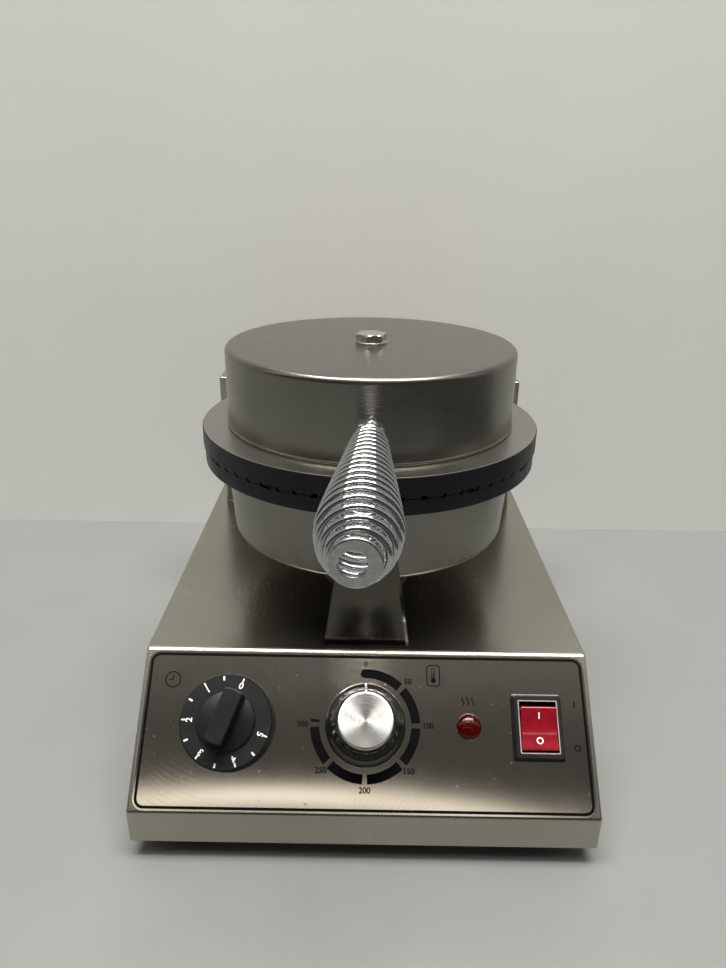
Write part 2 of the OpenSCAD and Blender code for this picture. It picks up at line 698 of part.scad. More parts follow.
module bracket_screws() color([0.7, 0.7, 0.7]) for (x = [-arm_x, arm_x], y = bracket_hole_y)
    translate([x, bracket_y + y, deck_z + ear_t]) screw(3.6, 2, 2, ear_t + sheet_t + 5);

module hinge_pin() color([0.75, 0.75, 0.75]) translate([-pin_len / 2, pin_y, pin_z])
    rotate([0, 90, 0]) cylinder(r = pin_r, h = pin_len);
module pin_clips() color([0.4, 0.4, 0.4]) for (m = [-1, 1])
    translate([m * (arm_x + ear_gap / 2 + ear_t + 1.4) - 0.6, pin_y, pin_z]) rotate([0, 90, 0])
        tube(pin_r + 2.6, pin_r, 1.2);
module hinge_washers() color([0.75, 0.7, 0.5]) for (m = [-1, 1], n = [-1, 1])
    translate([m * arm_x + n * (ear_gap - washer_t) / 2 - washer_t / 2, pin_y, pin_z])
        rotate([0, 90, 0]) tube(eye_r - 1.5, pin_r, washer_t);

// Grommet for the lid's lead in the tower's top
module grommet(hole_r, wall) {
    difference() {
        union() {
            translate([0, 0, -wall - 1.6]) cylinder(r = hole_r + 2, h = 1.6);
            translate([0, 0, -wall - 0.1]) cylinder(r = hole_r, h = wall + 0.2);
            cylinder(r = hole_r + 2, h = 1.6);
        }
        translate([0, 0, -wall - 3]) cylinder(r = 3, h = wall + 6);
    }
}
module tower_grommet() color([0.07, 0.07, 0.07])
    translate([tower_wire_x, tower_y + tower_depth / 2, tower_z]) grommet(6, tower_t);

// ---- Lid ----

// Upper shell: a spun cap with a round top edge and a rolled rim
module cap_section(r, h, c) {
    square([r - c, h]);
    square([r, h - c]);
    translate([r - c, h - c]) circle(c, $fn = 64);
}
shell_base_z = plate_top_z + 0.05;
grommet_z = shell_base_z + 24;
module upper_shell() color([0.62, 0.61, 0.56]) translate([0, pan_y, 0]) difference() {
    h = shell_top_z - shell_base_z;
    translate([0, 0, shell_base_z]) rotate_extrude() {
        difference() {
            cap_section(shell_r, h, shell_edge_r);
            translate([0, -1]) cap_section(shell_r - shell_t, h + 1 - shell_t, shell_edge_r - shell_t);
        }
        translate([shell_r - shell_t + bead_r, bead_r]) circle(bead_r, $fn = 48);
    }
    translate([0, 0, shell_top_z - 3]) cylinder(r = bolt_hole_r, h = 5);
    translate([0, -shell_r + 6, handle_z]) rotate([90, 0, 0]) cylinder(r = stud_r + 0.5, h = 12);
    translate([0, shell_r + 6, grommet_z]) rotate([90, 0, 0]) cylinder(r = 6, h = 12);
}

ring_groove_w = 2;
module upper_plate() color([0.15, 0.15, 0.17]) translate([0, pan_y, up_z]) difference() {
    cylinder(r = plate_r, h = upper_plate_t);
    grid_cuts();
    translate([0, 0, upper_plate_t - 0.8]) difference() {
        cylinder(r = shell_r + 2 * bead_r + ring_groove_w, h = 2);
        translate([0, 0, -1]) cylinder(r = shell_r + 2 * bead_r, h = 4);
    }
    translate([0, 0, upper_plate_t - 5]) cylinder(r = bolt_r, h = 6);
    for (x = [-1, 1], y = arm_screw_y) translate([x * arm_screw_x, y - pan_y, upper_plate_t - 6])
        cylinder(r = 1.9, h = 7);
}

module upper_element() color([0.35, 0.33, 0.3])
    element_ring(plate_top_z + element_tube_r + 0.05);
module upper_clamp_plate() color([0.5, 0.5, 0.5])
    translate([0, pan_y, plate_top_z + clamp_gap]) clamp_plate();
module upper_insulation() color([0.85, 0.83, 0.78])
    translate([0, pan_y, plate_top_z + clamp_gap + clamp_t + 0.1]) tube(insul_r, 16, insul_t);

// Bolt through the middle of the lid, into the upper plate
washer_h = 1;
module centre_bolt() color([0.75, 0.7, 0.62]) translate([0, pan_y, 0]) {
    translate([0, 0, shell_top_z + washer_h]) rotate(12) {
        hex(16, 3.6);
        translate([0, 0, 3.6]) cylinder(r1 = 8.2, r2 = 7, h = 0.8);
    }
    translate([0, 0, plate_top_z - 4.5]) cylinder(r = bolt_r, h = shell_top_z + washer_h - plate_top_z + 4.6);
    translate([0, 0, plate_top_z + clamp_gap + clamp_t]) hex(16, 6, bolt_r);
}
module bolt_washer() color([0.7, 0.7, 0.68]) translate([0, pan_y, shell_top_z])
    tube(9.5, bolt_r + 0.1, washer_h);

// Grommet for the lid's lead in the shell's rear wall
module lid_grommet() color([0.07, 0.07, 0.07]) translate([0, pan_y + shell_r + 0.5, grommet_z])
    rotate([-90, 0, 0]) grommet(5.9, shell_t + 1.1);

// Hinge arm: an upright plate with an eye, and a foot screwed to the upper plate's rim
arm_start_y = pan_y + 81;
arm_screw_x = arm_x - arm_t / 2 - arm_foot_w / 2 + 1;
arm_screw_y = [pan_y + 90];
arm_rise = 16;
module hinge_arm(side) {
    foot_z = plate_top_z + 0.02;
    difference() {
        union() {
            across(arm_t, side * arm_x) polygon([[arm_start_y, foot_z], [arm_start_y, foot_z + arm_rise],
                [pin_y - 20, foot_z + arm_rise], [pin_y + eye_r * cos(45), pin_z + eye_r * sin(45)],
                [pin_y - eye_r * cos(20), pin_z - eye_r * sin(20)], [pin_y - 14, foot_z]]);
            translate([side * arm_x - arm_t / 2, pin_y, pin_z]) rotate([0, 90, 0])
                cylinder(r = eye_r, h = arm_t);
            translate([side * arm_screw_x - arm_foot_w / 2, pan_y + 84.5, foot_z])
                cube([arm_foot_w, 10.5, arm_foot_t]);
        }
        translate([side * arm_x - arm_t, pin_y, pin_z]) rotate([0, 90, 0])
            cylinder(r = pin_r + run_gap, h = 2 * arm_t);
        for (y = arm_screw_y) translate([side * arm_screw_x, y, foot_z - 1]) cylinder(r = 2.2, h = 8);
    }
}
module left_hinge_arm() color([0.5, 0.5, 0.48]) hinge_arm(-1);
module right_hinge_arm() color([0.5, 0.5, 0.48]) hinge_arm(1);
module arm_screws() color([0.7, 0.7, 0.7]) for (x = [-1, 1], y = arm_screw_y)
    translate([x * arm_screw_x, y, plate_top_z + 0.02 + arm_foot_t]) screw(3.4, 2.2, 1.85, arm_foot_t + 4);

// ---- Handle ----

module handle_stud() color([0.75, 0.75, 0.75]) on_handle(-12) cylinder(r = stud_r, h = 12 + coil_start + 22);
module handle_nut() color([0.8, 0.8, 0.8]) on_handle(nut_gap) rotate(22) hex(nut_af, nut_t, stud_r);
module handle_inner_nut() color([0.8, 0.8, 0.8]) on_handle(-shell_t - 1 - nut_t) hex(nut_af, nut_t, stud_r);

// Coil: wire wound on a cone that ends in a rounded belly, with its last turns drawn together
coil_steps = 16;
wire_sides = 6;
pitch = 6.5;
closing_at = 16;
closing = 0.42;
root_r = stud_r + wire_d - 0.15;
profile = [[0, root_r], [4, 7.9], [12, 9.2], [24, 10.3], [40, 11.6], [60, 13.3], [80, 15],
    [92, 15.9], [102, belly_r], [108, 15.8], [114, 14.5], [119, 12.4], [123, 10.2], [126, 8.6]];
function coil_at(turn) = pitch * turn - (turn > closing_at ? closing * pow(turn - closing_at, 2) : 0);
function coil_r(t) = lookup(t, profile);
coil_turns = closing_at + (pitch - sqrt(pitch * pitch - 4 * closing * (coil_len - wire_d
    + 0.2 - pitch * closing_at))) / (2 * closing);
function coil_ring(turn) = let (t = coil_at(turn), r = coil_r(t) - wire_d / 2, a = 360 * turn)
    [for (j = [0 : wire_sides - 1]) let (b = 360 * j / wire_sides, q = r + wire_d / 2 * cos(b))
        [q * cos(a), q * sin(a), t + wire_d / 2 * (1 + sin(b))]];
module handle_coil() color([0.85, 0.85, 0.85]) on_handle(coil_start) {
    rings = round(coil_turns * coil_steps);
    points = [for (i = [0 : rings]) each coil_ring(coil_turns * i / rings)];
    sides = [for (i = [0 : rings - 1], j = [0 : wire_sides - 1]) let (k = (j + 1) % wire_sides)
        [i * wire_sides + j, (i + 1) * wire_sides + j, (i + 1) * wire_sides + k, i * wire_sides + k]];
    polyhedron(points, concat(sides, [[for (j = [0 : wire_sides - 1]) j]],
        [[for (j = [wire_sides - 1 : -1 : 0]) rings * wire_sides + j]]));
}

// Flat ring that closes the coil's end, its hole a little off centre
module handle_end_ring() color([0.8, 0.8, 0.8]) on_handle(coil_start + coil_len) difference() {
    cylinder(r = end_ring_r, h = end_ring_t);
    rotate(190) translate([end_hole_off, 0, -1]) cylinder(r = end_hole_r, h = end_ring_t + 2);
}

base_cover();
bottom_plate();
rubber_feet();
foot_screws();
case_screws();
control_overlay();
timer_body();
timer_shaft();
timer_knob();
thermostat_body();
thermostat_shaft();
thermostat_knob();
thermostat_cap();
capillary_tube();
sensor_bulb();
lamp_lens();
lamp_body();
switch_frame();
power_rocker();
terminal_block();
terminal_screws();
gland_body();
gland_nut();
front_support();
pan_pedestal();
pedestal_screws();
lower_shell();
lower_plate();
lower_element();
lower_clamp_plate();
lower_insulation();
lower_centre_bolt();
hinge_tower();
tower_screws();
left_hinge_bracket();
right_hinge_bracket();
bracket_screws();
hinge_pin();
pin_clips();
hinge_washers();
tower_grommet();
left_hinge_arm();
right_hinge_arm();
arm_screws();
upper_shell();
upper_plate();
upper_element();
upper_clamp_plate();
upper_insulation();
centre_bolt();
bolt_washer();
lid_grommet();
handle_stud();
handle_nut();
handle_inner_nut();
handle_coil();
handle_end_ring();
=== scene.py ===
from contextlib import contextmanager
import json
import math

import bmesh
import bpy
from mathutils import Matrix, Vector


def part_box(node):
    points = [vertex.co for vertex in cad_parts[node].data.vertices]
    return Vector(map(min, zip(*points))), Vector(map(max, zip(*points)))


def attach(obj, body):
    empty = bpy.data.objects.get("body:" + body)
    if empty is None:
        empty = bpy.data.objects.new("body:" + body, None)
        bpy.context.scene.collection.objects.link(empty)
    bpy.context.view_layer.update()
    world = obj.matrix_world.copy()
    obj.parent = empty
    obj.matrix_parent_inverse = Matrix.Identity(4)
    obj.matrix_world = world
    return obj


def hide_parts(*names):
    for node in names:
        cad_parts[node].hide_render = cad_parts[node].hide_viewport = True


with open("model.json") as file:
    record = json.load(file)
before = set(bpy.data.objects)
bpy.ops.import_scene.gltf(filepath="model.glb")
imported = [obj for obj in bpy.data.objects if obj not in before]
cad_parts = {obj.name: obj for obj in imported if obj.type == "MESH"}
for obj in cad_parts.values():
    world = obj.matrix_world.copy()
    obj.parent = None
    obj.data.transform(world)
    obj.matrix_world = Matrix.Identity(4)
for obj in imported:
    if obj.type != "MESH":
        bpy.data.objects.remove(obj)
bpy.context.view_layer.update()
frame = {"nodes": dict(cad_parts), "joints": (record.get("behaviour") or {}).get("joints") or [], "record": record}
MM = 0.001
NODES = frame["nodes"]
BODY_OF = {n: b for b, names in frame["record"]["behaviour"]["bodies"].items() for n in names}
JOINTS = {j["name"]: j for j in frame["joints"]}


# ---------------------------------------------------------------- places, all taken from the frame

def low(node):
    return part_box(node)[0]


def high(node):
    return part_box(node)[1]


def middle(node):
    return (low(node) + high(node)) / 2


def width(node):
    return high(node).x - low(node).x


LIP_Y, REAR_Y = low("base_cover").y, high("base_cover").y
BASE_FOOT_Z, DECK_Z = low("base_cover").z, high("base_cover").z
HALF_W = high("base_cover").x
SHEET = 1.2 * MM

# The sloping panel's frame: X to the right, Y up the slope, Z out of the panel, origin at the
# middle knob's centre on the cover's surface
PANEL_N = -Vector(JOINTS["thermostat_turn"]["axis"])
PANEL_O = Vector(JOINTS["thermostat_turn"]["pos_m"])
PANEL_UP = PANEL_N.cross(Vector((1, 0, 0)))
PANEL = Matrix.Translation(PANEL_O) @ Matrix(
    ((1, PANEL_UP.x, PANEL_N.x), (0, PANEL_UP.y, PANEL_N.y), (0, PANEL_UP.z, PANEL_N.z))).to_4x4()
LIP_Z = PANEL_O.z + (PANEL_O.y - LIP_Y) * PANEL_N.y / PANEL_N.z
BEND_Y = PANEL_O.y - (DECK_Z - PANEL_O.z) * PANEL_N.z / PANEL_N.y
PANEL_S0 = (Vector((0, LIP_Y, LIP_Z)) - PANEL_O).dot(PANEL_UP)
PANEL_S1 = (Vector((0, BEND_Y, DECK_Z)) - PANEL_O).dot(PANEL_UP)
TIMER_X = JOINTS["timer_turn"]["pos_m"][0]
LAMP_X = middle("lamp_lens").x
SWITCH_X = middle("switch_frame").x
OVERLAY_T = 0.8 * MM
KNOB_Z = OVERLAY_T + 0.6 * MM

PAN = middle("upper_plate")
PLATE_R, LOW_PLATE_R = width("upper_plate") / 2, width("lower_plate") / 2
PLATE_TOP, PART_UP = high("upper_plate").z, low("upper_plate").z
PART_LOW, PLATE_BOT = high("lower_plate").z, low("lower_plate").z
BEAD_R = 0.9 * MM
SHELL_R = width("upper_shell") / 2 - 2 * BEAD_R + SHEET
SHELL_TOP, SHELL_BASE = high("upper_shell").z, low("upper_shell").z
LOW_SHELL_Z = low("lower_shell").z
LOW_SHELL_TOP_R = width("lower_shell") / 2


def shift(x=0.0, y=0.0, z=0.0):
    return Matrix.Translation((x, y, z))


def turn(degrees, axis="Z"):
    return Matrix.Rotation(math.radians(degrees), 4, axis)


def above_pan(z=0.0):
    return shift(PAN.x, PAN.y, z)


def axis_matrix(origin, axis, spin=0.0):
    """Puts local Z along axis at origin. spin in radians."""
    q = Vector((0, 0, 1)).rotation_difference(Vector(axis))
    return shift(*origin) @ q.to_matrix().to_4x4() @ Matrix.Rotation(spin, 4, "Z")


# ---------------------------------------------------------------- outlines

def arc(rx, ry, start, end, steps, x=0.0, y=0.0):
    """Points on an ellipse about (x, y). Angles in degrees, anticlockwise from +X."""
    angles = [math.radians(start + (end - start) * i / steps) for i in range(steps + 1)]
    return [(x + rx * math.cos(a), y + ry * math.sin(a)) for a in angles]


def circle(radius, count, x=0.0, y=0.0):
    return arc(radius, radius, 0, 360, count, x, y)[:-1]


def fillet(points, radius, steps=4):
    """Rounds an outline's corners. radius is one value or one per point."""
    radii = radius if isinstance(radius, list) else [radius] * len(points)
    out = []
    for i, (p, r) in enumerate(zip(points, radii)):
        if r <= 0:
            out.append(p)
            continue
        p = Vector(p)
        a, b = Vector(points[i - 1]) - p, Vector(points[(i + 1) % len(points)]) - p
        half = a.angle(b) / 2
        reach = min(r / math.tan(half), 0.49 * a.length, 0.49 * b.length)
        a.normalize()
        b.normalize()
        centre = p + (a + b).normalized() * reach / math.cos(half)
        start, end = p + a * reach - centre, p + b * reach - centre
        sweep = start.angle_signed(end)
        for k in range(steps + 1):
            c, s = math.cos(-sweep * k / steps), math.sin(-sweep * k / steps)
            out.append((centre.x + c * start.x - s * start.y, centre.y + s * start.x + c * start.y))
    return out


def rounded_rect(w, h, r, x=0.0, y=0.0, steps=6):
    x0, x1, y0, y1 = x - w / 2, x + w / 2, y - h / 2, y + h / 2
    return fillet([(x0, y0), (x1, y0), (x1, y1), (x0, y1)], r, steps)


def stroke(points, thick):
    """Outline of a line of even thickness through 2-D points."""
    left, right = [], []
    for i, p in enumerate(points):
        d = (Vector(points[min(i + 1, len(points) - 1)]) - Vector(points[max(i - 1, 0)])).normalized()
        n = Vector((-d.y, d.x)) * thick / 2
        left.append(tuple(Vector(p) + n))
        right.append(tuple(Vector(p) - n))
    return left + right[::-1]


# ---------------------------------------------------------------- mesh helpers

def add_object(name, data, matrix=None):
    obj = bpy.data.objects.new(name, data)
    bpy.context.scene.collection.objects.link(obj)
    if matrix is not None:
        obj.matrix_world = matrix
    return obj


def remove(*objs):
    for obj in objs:
        bpy.data.objects.remove(obj)


@contextmanager
def editing(mesh):
    """The mesh as a bmesh, which is written back at the end."""
    bm = bmesh.new()
    bm.from_mesh(mesh)
    yield bm
    bm.to_mesh(mesh)
    bm.free()


def evaluated_mesh(obj):
    bpy.context.view_layer.update()
    graph = bpy.context.evaluated_depsgraph_get()
    return bpy.data.meshes.new_from_object(obj.evaluated_get(graph))


def apply_modifiers(obj):
    mesh = evaluated_mesh(obj)
    obj.modifiers.clear()
    obj.data = mesh
    return obj


def bevel(obj, size, segments=3, angle=30):
    m = obj.modifiers.new("bevel", "BEVEL")
    m.width = size
    m.segments = segments
    m.limit_method = "ANGLE"
    m.angle_limit = math.radians(angle)
    return apply_modifiers(obj)


def smooth_by_angle(obj, angle, flat_ratio=12):
    """Smooth shading, with edges kept sharp at more than the angle or round a large flat face."""
    with editing(obj.data) as bm:
        for face in bm.faces:
            face.smooth = True
        area = {face: face.calc_area() for face in bm.faces}
        for edge in bm.edges:
            if len(edge.link_faces) == 2:
                bend = edge.calc_face_angle(0)
                a, b = (area[face] for face in edge.link_faces)
                step = bend > math.radians(2) and max(a, b) > flat_ratio * min(a, b)
                edge.smooth = not (step or bend > math.radians(angle))
    return obj


def combine(obj, operation, others, solver="EXACT"):
    """Takes the others away from obj, or adds them to it, and deletes them."""
    for other in others:
        m = obj.modifiers.new(operation, "BOOLEAN")
        m.operation = operation
        m.solver = solver
        m.object = other
        apply_modifiers(obj)
    remove(*others)
    return obj


def cut(obj, *cutters, solver="EXACT"):
    return combine(obj, "DIFFERENCE", cutters, solver)


def unite(obj, *parts):
    return combine(obj, "UNION", parts)


def join(name, objs):
    """One object of several, in the row frame."""
    mesh = bpy.data.meshes.new(name)
    with editing(mesh) as bm:
        for obj in objs:
            part = obj.data.copy()
            part.transform(obj.matrix_world)
            bm.from_mesh(part)
    remove(*objs)
    return add_object(name, mesh)


def loft(name, rings, matrix=None, closed=False):
    """Joins rings of points, or single points, with faces. Its ends are capped, or joined if closed."""
    verts, ids = [], []
    for ring in rings:
        ids.append(range(len(verts), len(verts) + len(ring)))
        verts += [tuple(v) for v in ring]
    count = max(map(len, rings))
    faces = [] if closed else [tuple(ids[0]), tuple(ids[-1])]
    for a, b in zip(ids, ids[1:] + ids[:1] if closed else ids[1:]):
        for i in range(count):
            k = (i + 1) % count
            corners = (a[i % len(a)], a[k % len(a)], b[k % len(b)], b[i % len(b)])
            faces.append(tuple(dict.fromkeys(corners)))
    mesh = bpy.data.meshes.new(name)
    mesh.from_pydata(verts, [], [face for face in faces if len(face) > 2])
    with editing(mesh) as bm:
        bmesh.ops.recalc_face_normals(bm, faces=bm.faces)
    return add_object(name, mesh, matrix)


def lathe(name, profile, segments=96, matrix=None):
    """Revolves a list of (radius, height) points about Z. Points at radius 0 close the ends."""
    rings = [[(x, y, z) for x, y in (circle(r, segments) if r > 0 else [(0, 0)])] for r, z in profile]
    obj = loft(name, rings, matrix, closed=profile[0][0] > 0)
    return smooth_by_angle(obj, 40)


def prism(name, outline, z0, z1, matrix=None):
    """Extrudes an X-Y outline from z0 to z1."""
    return loft(name, [[(x, y, z) for x, y in outline] for z in (z0, z1)], matrix)


# Turns X-Y-Z of a prism into Y-Z-X of the row frame, for outlines drawn in the Y-Z plane
SIDEWAYS = Matrix(((0, 0, 1, 0), (1, 0, 0, 0), (0, 1, 0, 0), (0, 0, 0, 1)))


def side_prism(name, outline_yz, x0, x1):
    obj = prism(name, outline_yz, x0, x1)
    obj.data.transform(SIDEWAYS)
    return obj


def block(x0, x1, y0, y1, z0, z1, matrix=None):
    return prism("block", [(x0, y0), (x1, y0), (x1, y1), (x0, y1)], z0, z1, matrix)


def rod(radius, z0, z1, matrix=None, segments=48):
    return prism("rod", circle(radius, segments), z0, z1, matrix)


def frame_outline(name, w, h, r, line, y, z0, z1, matrix):
    """A rounded rectangular frame of even thickness."""
    outer = rounded_rect(w, h, r, 0, y, 8)
    inner = rounded_rect(w - 2 * line, h - 2 * line, r - line, 0, y, 8)
    rings = [[(x, y, z) for x, y in points]
             for points, z in ((outer, z0), (outer, z1), (inner, z1), (inner, z0))]
    return loft(name, rings, matrix, closed=True)


def hex_head(name, across_flats, height, matrix, chamfer, spin=0.0, bore=0.0, both=False):
    """Hexagon with its corners chamfered at the top, or at both ends. spin in degrees."""
    flat = across_flats / 2
    corner = flat / math.cos(math.pi / 6)
    corners = [Vector(p) for p in arc(corner, corner, spin, spin + 360, 6)]
    outline = [p.lerp(q, k / 8) for p, q in zip(corners, corners[1:]) for k in range(8)]
    drops = [chamfer * max(0.0, (p.length - flat) / (corner - flat)) + 0.15 * MM for p in outline]

    def level(z, way, inset=1.0):
        return [(x * inset, y * inset, z + way * drop) for (x, y), drop in zip(outline, drops)]
    obj = loft(name, [level(0, 0, 0.94), level(0, 1 if both else 0), level(height, -1),
                      level(height, 0, 0.94)])
    if bore:
        cut(obj, rod(bore, -MM, height + MM))
    obj.matrix_world = matrix
    return smooth_by_angle(obj, 20)


def tube_along(name, points, radius, sides):
    """Mesh tube through points, whose rings don't twist from one to the next."""
    points = [Vector(p) for p in points]
    tangents = [(points[min(i + 1, len(points) - 1)] - points[max(i - 1, 0)]).normalized()
                for i in range(len(points))]
    normal = tangents[0].orthogonal().normalized()
    rings = []
    for p, tangent in zip(points, tangents):
        normal = (normal - tangent * normal.dot(tangent)).normalized()
        side = tangent.cross(normal)
        rings.append([p + x * normal + y * side for x, y in circle(radius, sides)])
    tube = loft(name, rings)
    tube.data.shade_smooth()
    return tube


# ---------------------------------------------------------------- materials

def shades(color, darker, paler):
    return [tuple(min(1.0, c * k) for c in color) for k in (darker, paler)]


class Graph:
    """Small helper that builds a material's or the world's nodes."""

    def __init__(self, tree, coords="Object"):
        self.tree = tree
        self.shader = tree.nodes.get("Principled BSDF")
        self.coords = self.add("TexCoord").outputs[coords]

    def to(self, socket, value):
        """Links value to the socket if it is a socket too, and otherwise sets it."""
        if isinstance(value, bpy.types.NodeSocket):
            self.tree.links.new(value, socket)
        else:
            socket.default_value = value

    def add(self, kind, inputs=None, **settings):
        node = self.tree.nodes.new("ShaderNode" + kind)
        for key, value in settings.items():
            setattr(node, key, value)
        for key, value in (inputs or {}).items():
            self.to(node.inputs[key], value)
        return node

    def shade(self, **sockets):
        for key, value in sockets.items():
            self.to(self.shader.inputs[key.replace("_", " ")], value)

    def noise(self, scale, detail=3.0, stretch=(1, 1, 1), roughness=0.5):
        vector = self.add("Mapping", {"Vector": self.coords, "Scale": stretch}).outputs["Vector"]
        return self.add("TexNoise", {"Vector": vector, "Scale": scale, "Detail": detail,
                                     "Roughness": roughness}).outputs["Fac"]

    def ramp(self, value, low_in, high_in, low_out, high_out):
        return self.add("MapRange", {"Value": value, "From Min": low_in, "From Max": high_in,
                                     "To Min": low_out, "To Max": high_out}).outputs["Result"]

    def blend(self, factor, a, b, **settings):
        """Colour a where factor is 0, b where it is 1."""
        a, b = ((*c, 1) if isinstance(c, tuple) else c for c in (a, b))
        return self.add("Mix", {0: factor, 6: a, 7: b}, data_type="RGBA", **settings).outputs[2]

    def math(self, operation, *values, **settings):
        return self.add("Math", dict(enumerate(values)), operation=operation, **settings).outputs[0]

    def vector(self, operation, *values):
        return self.add("VectorMath", dict(enumerate(values)), operation=operation).outputs

    def bump(self, height, strength, distance=0.0001):
        node = self.add("Bump", {"Strength": strength, "Distance": distance, "Height": height})
        self.shade(Normal=node.outputs["Normal"])

    def rings(self, centre, lines, lines_up):
        """Noise in fine rings about a vertical line, and in lines up it."""
        offset = self.vector("SUBTRACT", self.coords, centre)[0]
        radius = self.vector("LENGTH", self.vector("MULTIPLY", offset, (1, 1, 0))[0])["Value"]
        height = self.add("SeparateXYZ", {0: self.coords}).outputs[2]
        place = self.add("CombineXYZ", {0: self.math("MULTIPLY", radius, lines),
                                        1: self.math("MULTIPLY", height, lines_up)})
        return self.add("TexNoise", {"Vector": place.outputs[0], "Scale": 1.0,
                                     "Detail": 2.0}).outputs["Fac"]


def material(name, color, roughness, metallic=0.0, **sockets):
    mat = bpy.data.materials.new(name)
    mat.use_nodes = True
    g = Graph(mat.node_tree)
    g.shade(Base_Color=(*color, 1), Roughness=roughness, Metallic=metallic, **sockets)
    return mat, g


def steel(name, color, rough, grain, streak, smudge, smudge_scale=14, uneven=0.03, brushed=0.0):
    """Satin sheet steel: fine streaks along one direction, broad smudges in tone and gloss."""
    mat, g = material(name, color, rough, 1.0)
    if brushed:
        g.shade(Anisotropic=brushed, Tangent=g.add("CombineXYZ", {0: 1.0}).outputs[0])
    streaks = g.noise(1.0, 2.0, grain)
    broad = g.noise(smudge_scale, 4.0, roughness=0.6)
    tone = g.math("ADD", g.math("MULTIPLY", g.ramp(broad, 0.25, 0.75, -1, 1), smudge),
                  g.math("MULTIPLY", g.ramp(streaks, 0.25, 0.75, -1, 1), streak))
    tint = g.blend(g.ramp(tone, -1, 1, 0, 1), *shades(color, 0.78, 1.22))
    gloss = g.math("ADD", g.ramp(broad, 0.25, 0.75, rough - uneven, rough + uneven),
                   g.ramp(streaks, 0.25, 0.75, -uneven / 3, uneven / 3))
    g.shade(Base_Color=tint, Roughness=gloss)
    g.bump(streaks, streak / 10, 0.00005)
    return mat, g, tint, gloss


def panel_steel(name, color, rough):
    """The panel's brushed plate, with wipe marks and specks of dried splashes."""
    mat, g, tint, gloss = steel(name, color, rough, (2600, 40, 40), 0.2, 0.3, 30, 0.012, 0.9)
    about = g.add("Mapping", {"Vector": g.coords, "Location": (0.075, 0.10, -0.09)})
    wipes = g.add("TexWave", {"Vector": about.outputs["Vector"], "Scale": 130.0, "Distortion": 2.5,
                              "Detail": 2.0, "Detail Scale": 0.6},
                  wave_type="RINGS", rings_direction="SPHERICAL")
    patch = g.ramp(g.noise(26), 0.5, 0.7, 0, 1)
    wipe = g.math("MULTIPLY", g.ramp(wipes.outputs["Fac"], 0.3, 1.0, 0, 0.07), patch)
    cells = g.add("TexVoronoi", {"Vector": g.coords, "Scale": 230.0}, feature="F1")
    sparse = g.ramp(g.noise(40), 0.56, 0.66, 0, 1)
    speck = g.math("MULTIPLY", g.ramp(cells.outputs["Distance"], 0.08, 0.17, 0.45, 0), sparse)
    marks = g.math("ADD", wipe, speck)
    g.shade(Base_Color=g.blend(marks, tint, (0.95, 0.92, 0.86)),
            Roughness=g.math("ADD", gloss, g.math("MULTIPLY", marks, 0.5)))
    return mat


def spun_steel(name, color, rough, lines=2600):
    """Steel turned on a lathe: fine rings about the pan's centre line."""
    mat, g = material(name, color, rough, 1.0)
    rings = g.rings((PAN.x, PAN.y, 0), lines, lines * 0.6)
    broad = g.noise(11, 4.0, roughness=0.6)
    tone = g.math("ADD", g.math("MULTIPLY", broad, 0.7), g.math("MULTIPLY", rings, 0.3))
    g.shade(Base_Color=g.blend(g.ramp(tone, 0.25, 0.7, 0, 1), *shades(color, 0.88, 1.1)),
            Roughness=g.ramp(tone, 0.3, 0.7, rough - 0.05, rough + 0.06))
    g.bump(rings, 0.08, 0.00005)
    return mat


def plain(name, color, rough, metallic, vary, scale, bump, **sockets):
    """A moulded or cast surface: slight tone and gloss changes and a fine skin."""
    mat, g = material(name, color, rough, metallic, **sockets)
    broad = g.noise(scale, 4.0, roughness=0.6)
    g.shade(Base_Color=g.blend(g.ramp(broad, 0.3, 0.7, 0, 1), *shades(color, 1 - vary, 1 + vary)),
            Roughness=g.ramp(broad, 0.3, 0.7, rough * 0.85, min(1.0, rough * 1.2)))
    g.bump(g.noise(scale * 22, 2.0), bump)
    return mat


def radial_cap(name, color):
    """Aluminium face turned with fine rings, which spreads light into wedges."""
    mat, g = material(name, color, 0.26, 1.0, Anisotropic=0.9)
    rings = g.rings((0, 0, 0), 5200, 0)
    g.shade(Tangent=g.add("Tangent", direction_type="RADIAL", axis="Z").outputs[0],
            Roughness=g.ramp(rings, 0.3, 0.7, 0.2, 0.34))
    g.bump(rings, 0.05, 0.00004)
    return mat


def cast_black(name):
    """Dark cast plate: faint blue-violet sheen, small pits."""
    mat, g = material(name, (0.010, 0.010, 0.014), 0.4, Specular_IOR_Level=0.25)
    broad = g.noise(30, 5.0, roughness=0.65)
    g.shade(Base_Color=g.blend(g.ramp(broad, 0.3, 0.7, 0, 1), (0.004, 0.004, 0.006),
                               (0.010, 0.0095, 0.015)),
            Roughness=g.ramp(broad, 0.3, 0.7, 0.36, 0.55))
    g.bump(g.noise(900), 0.12, 0.0002)
    return mat


MAT = {}
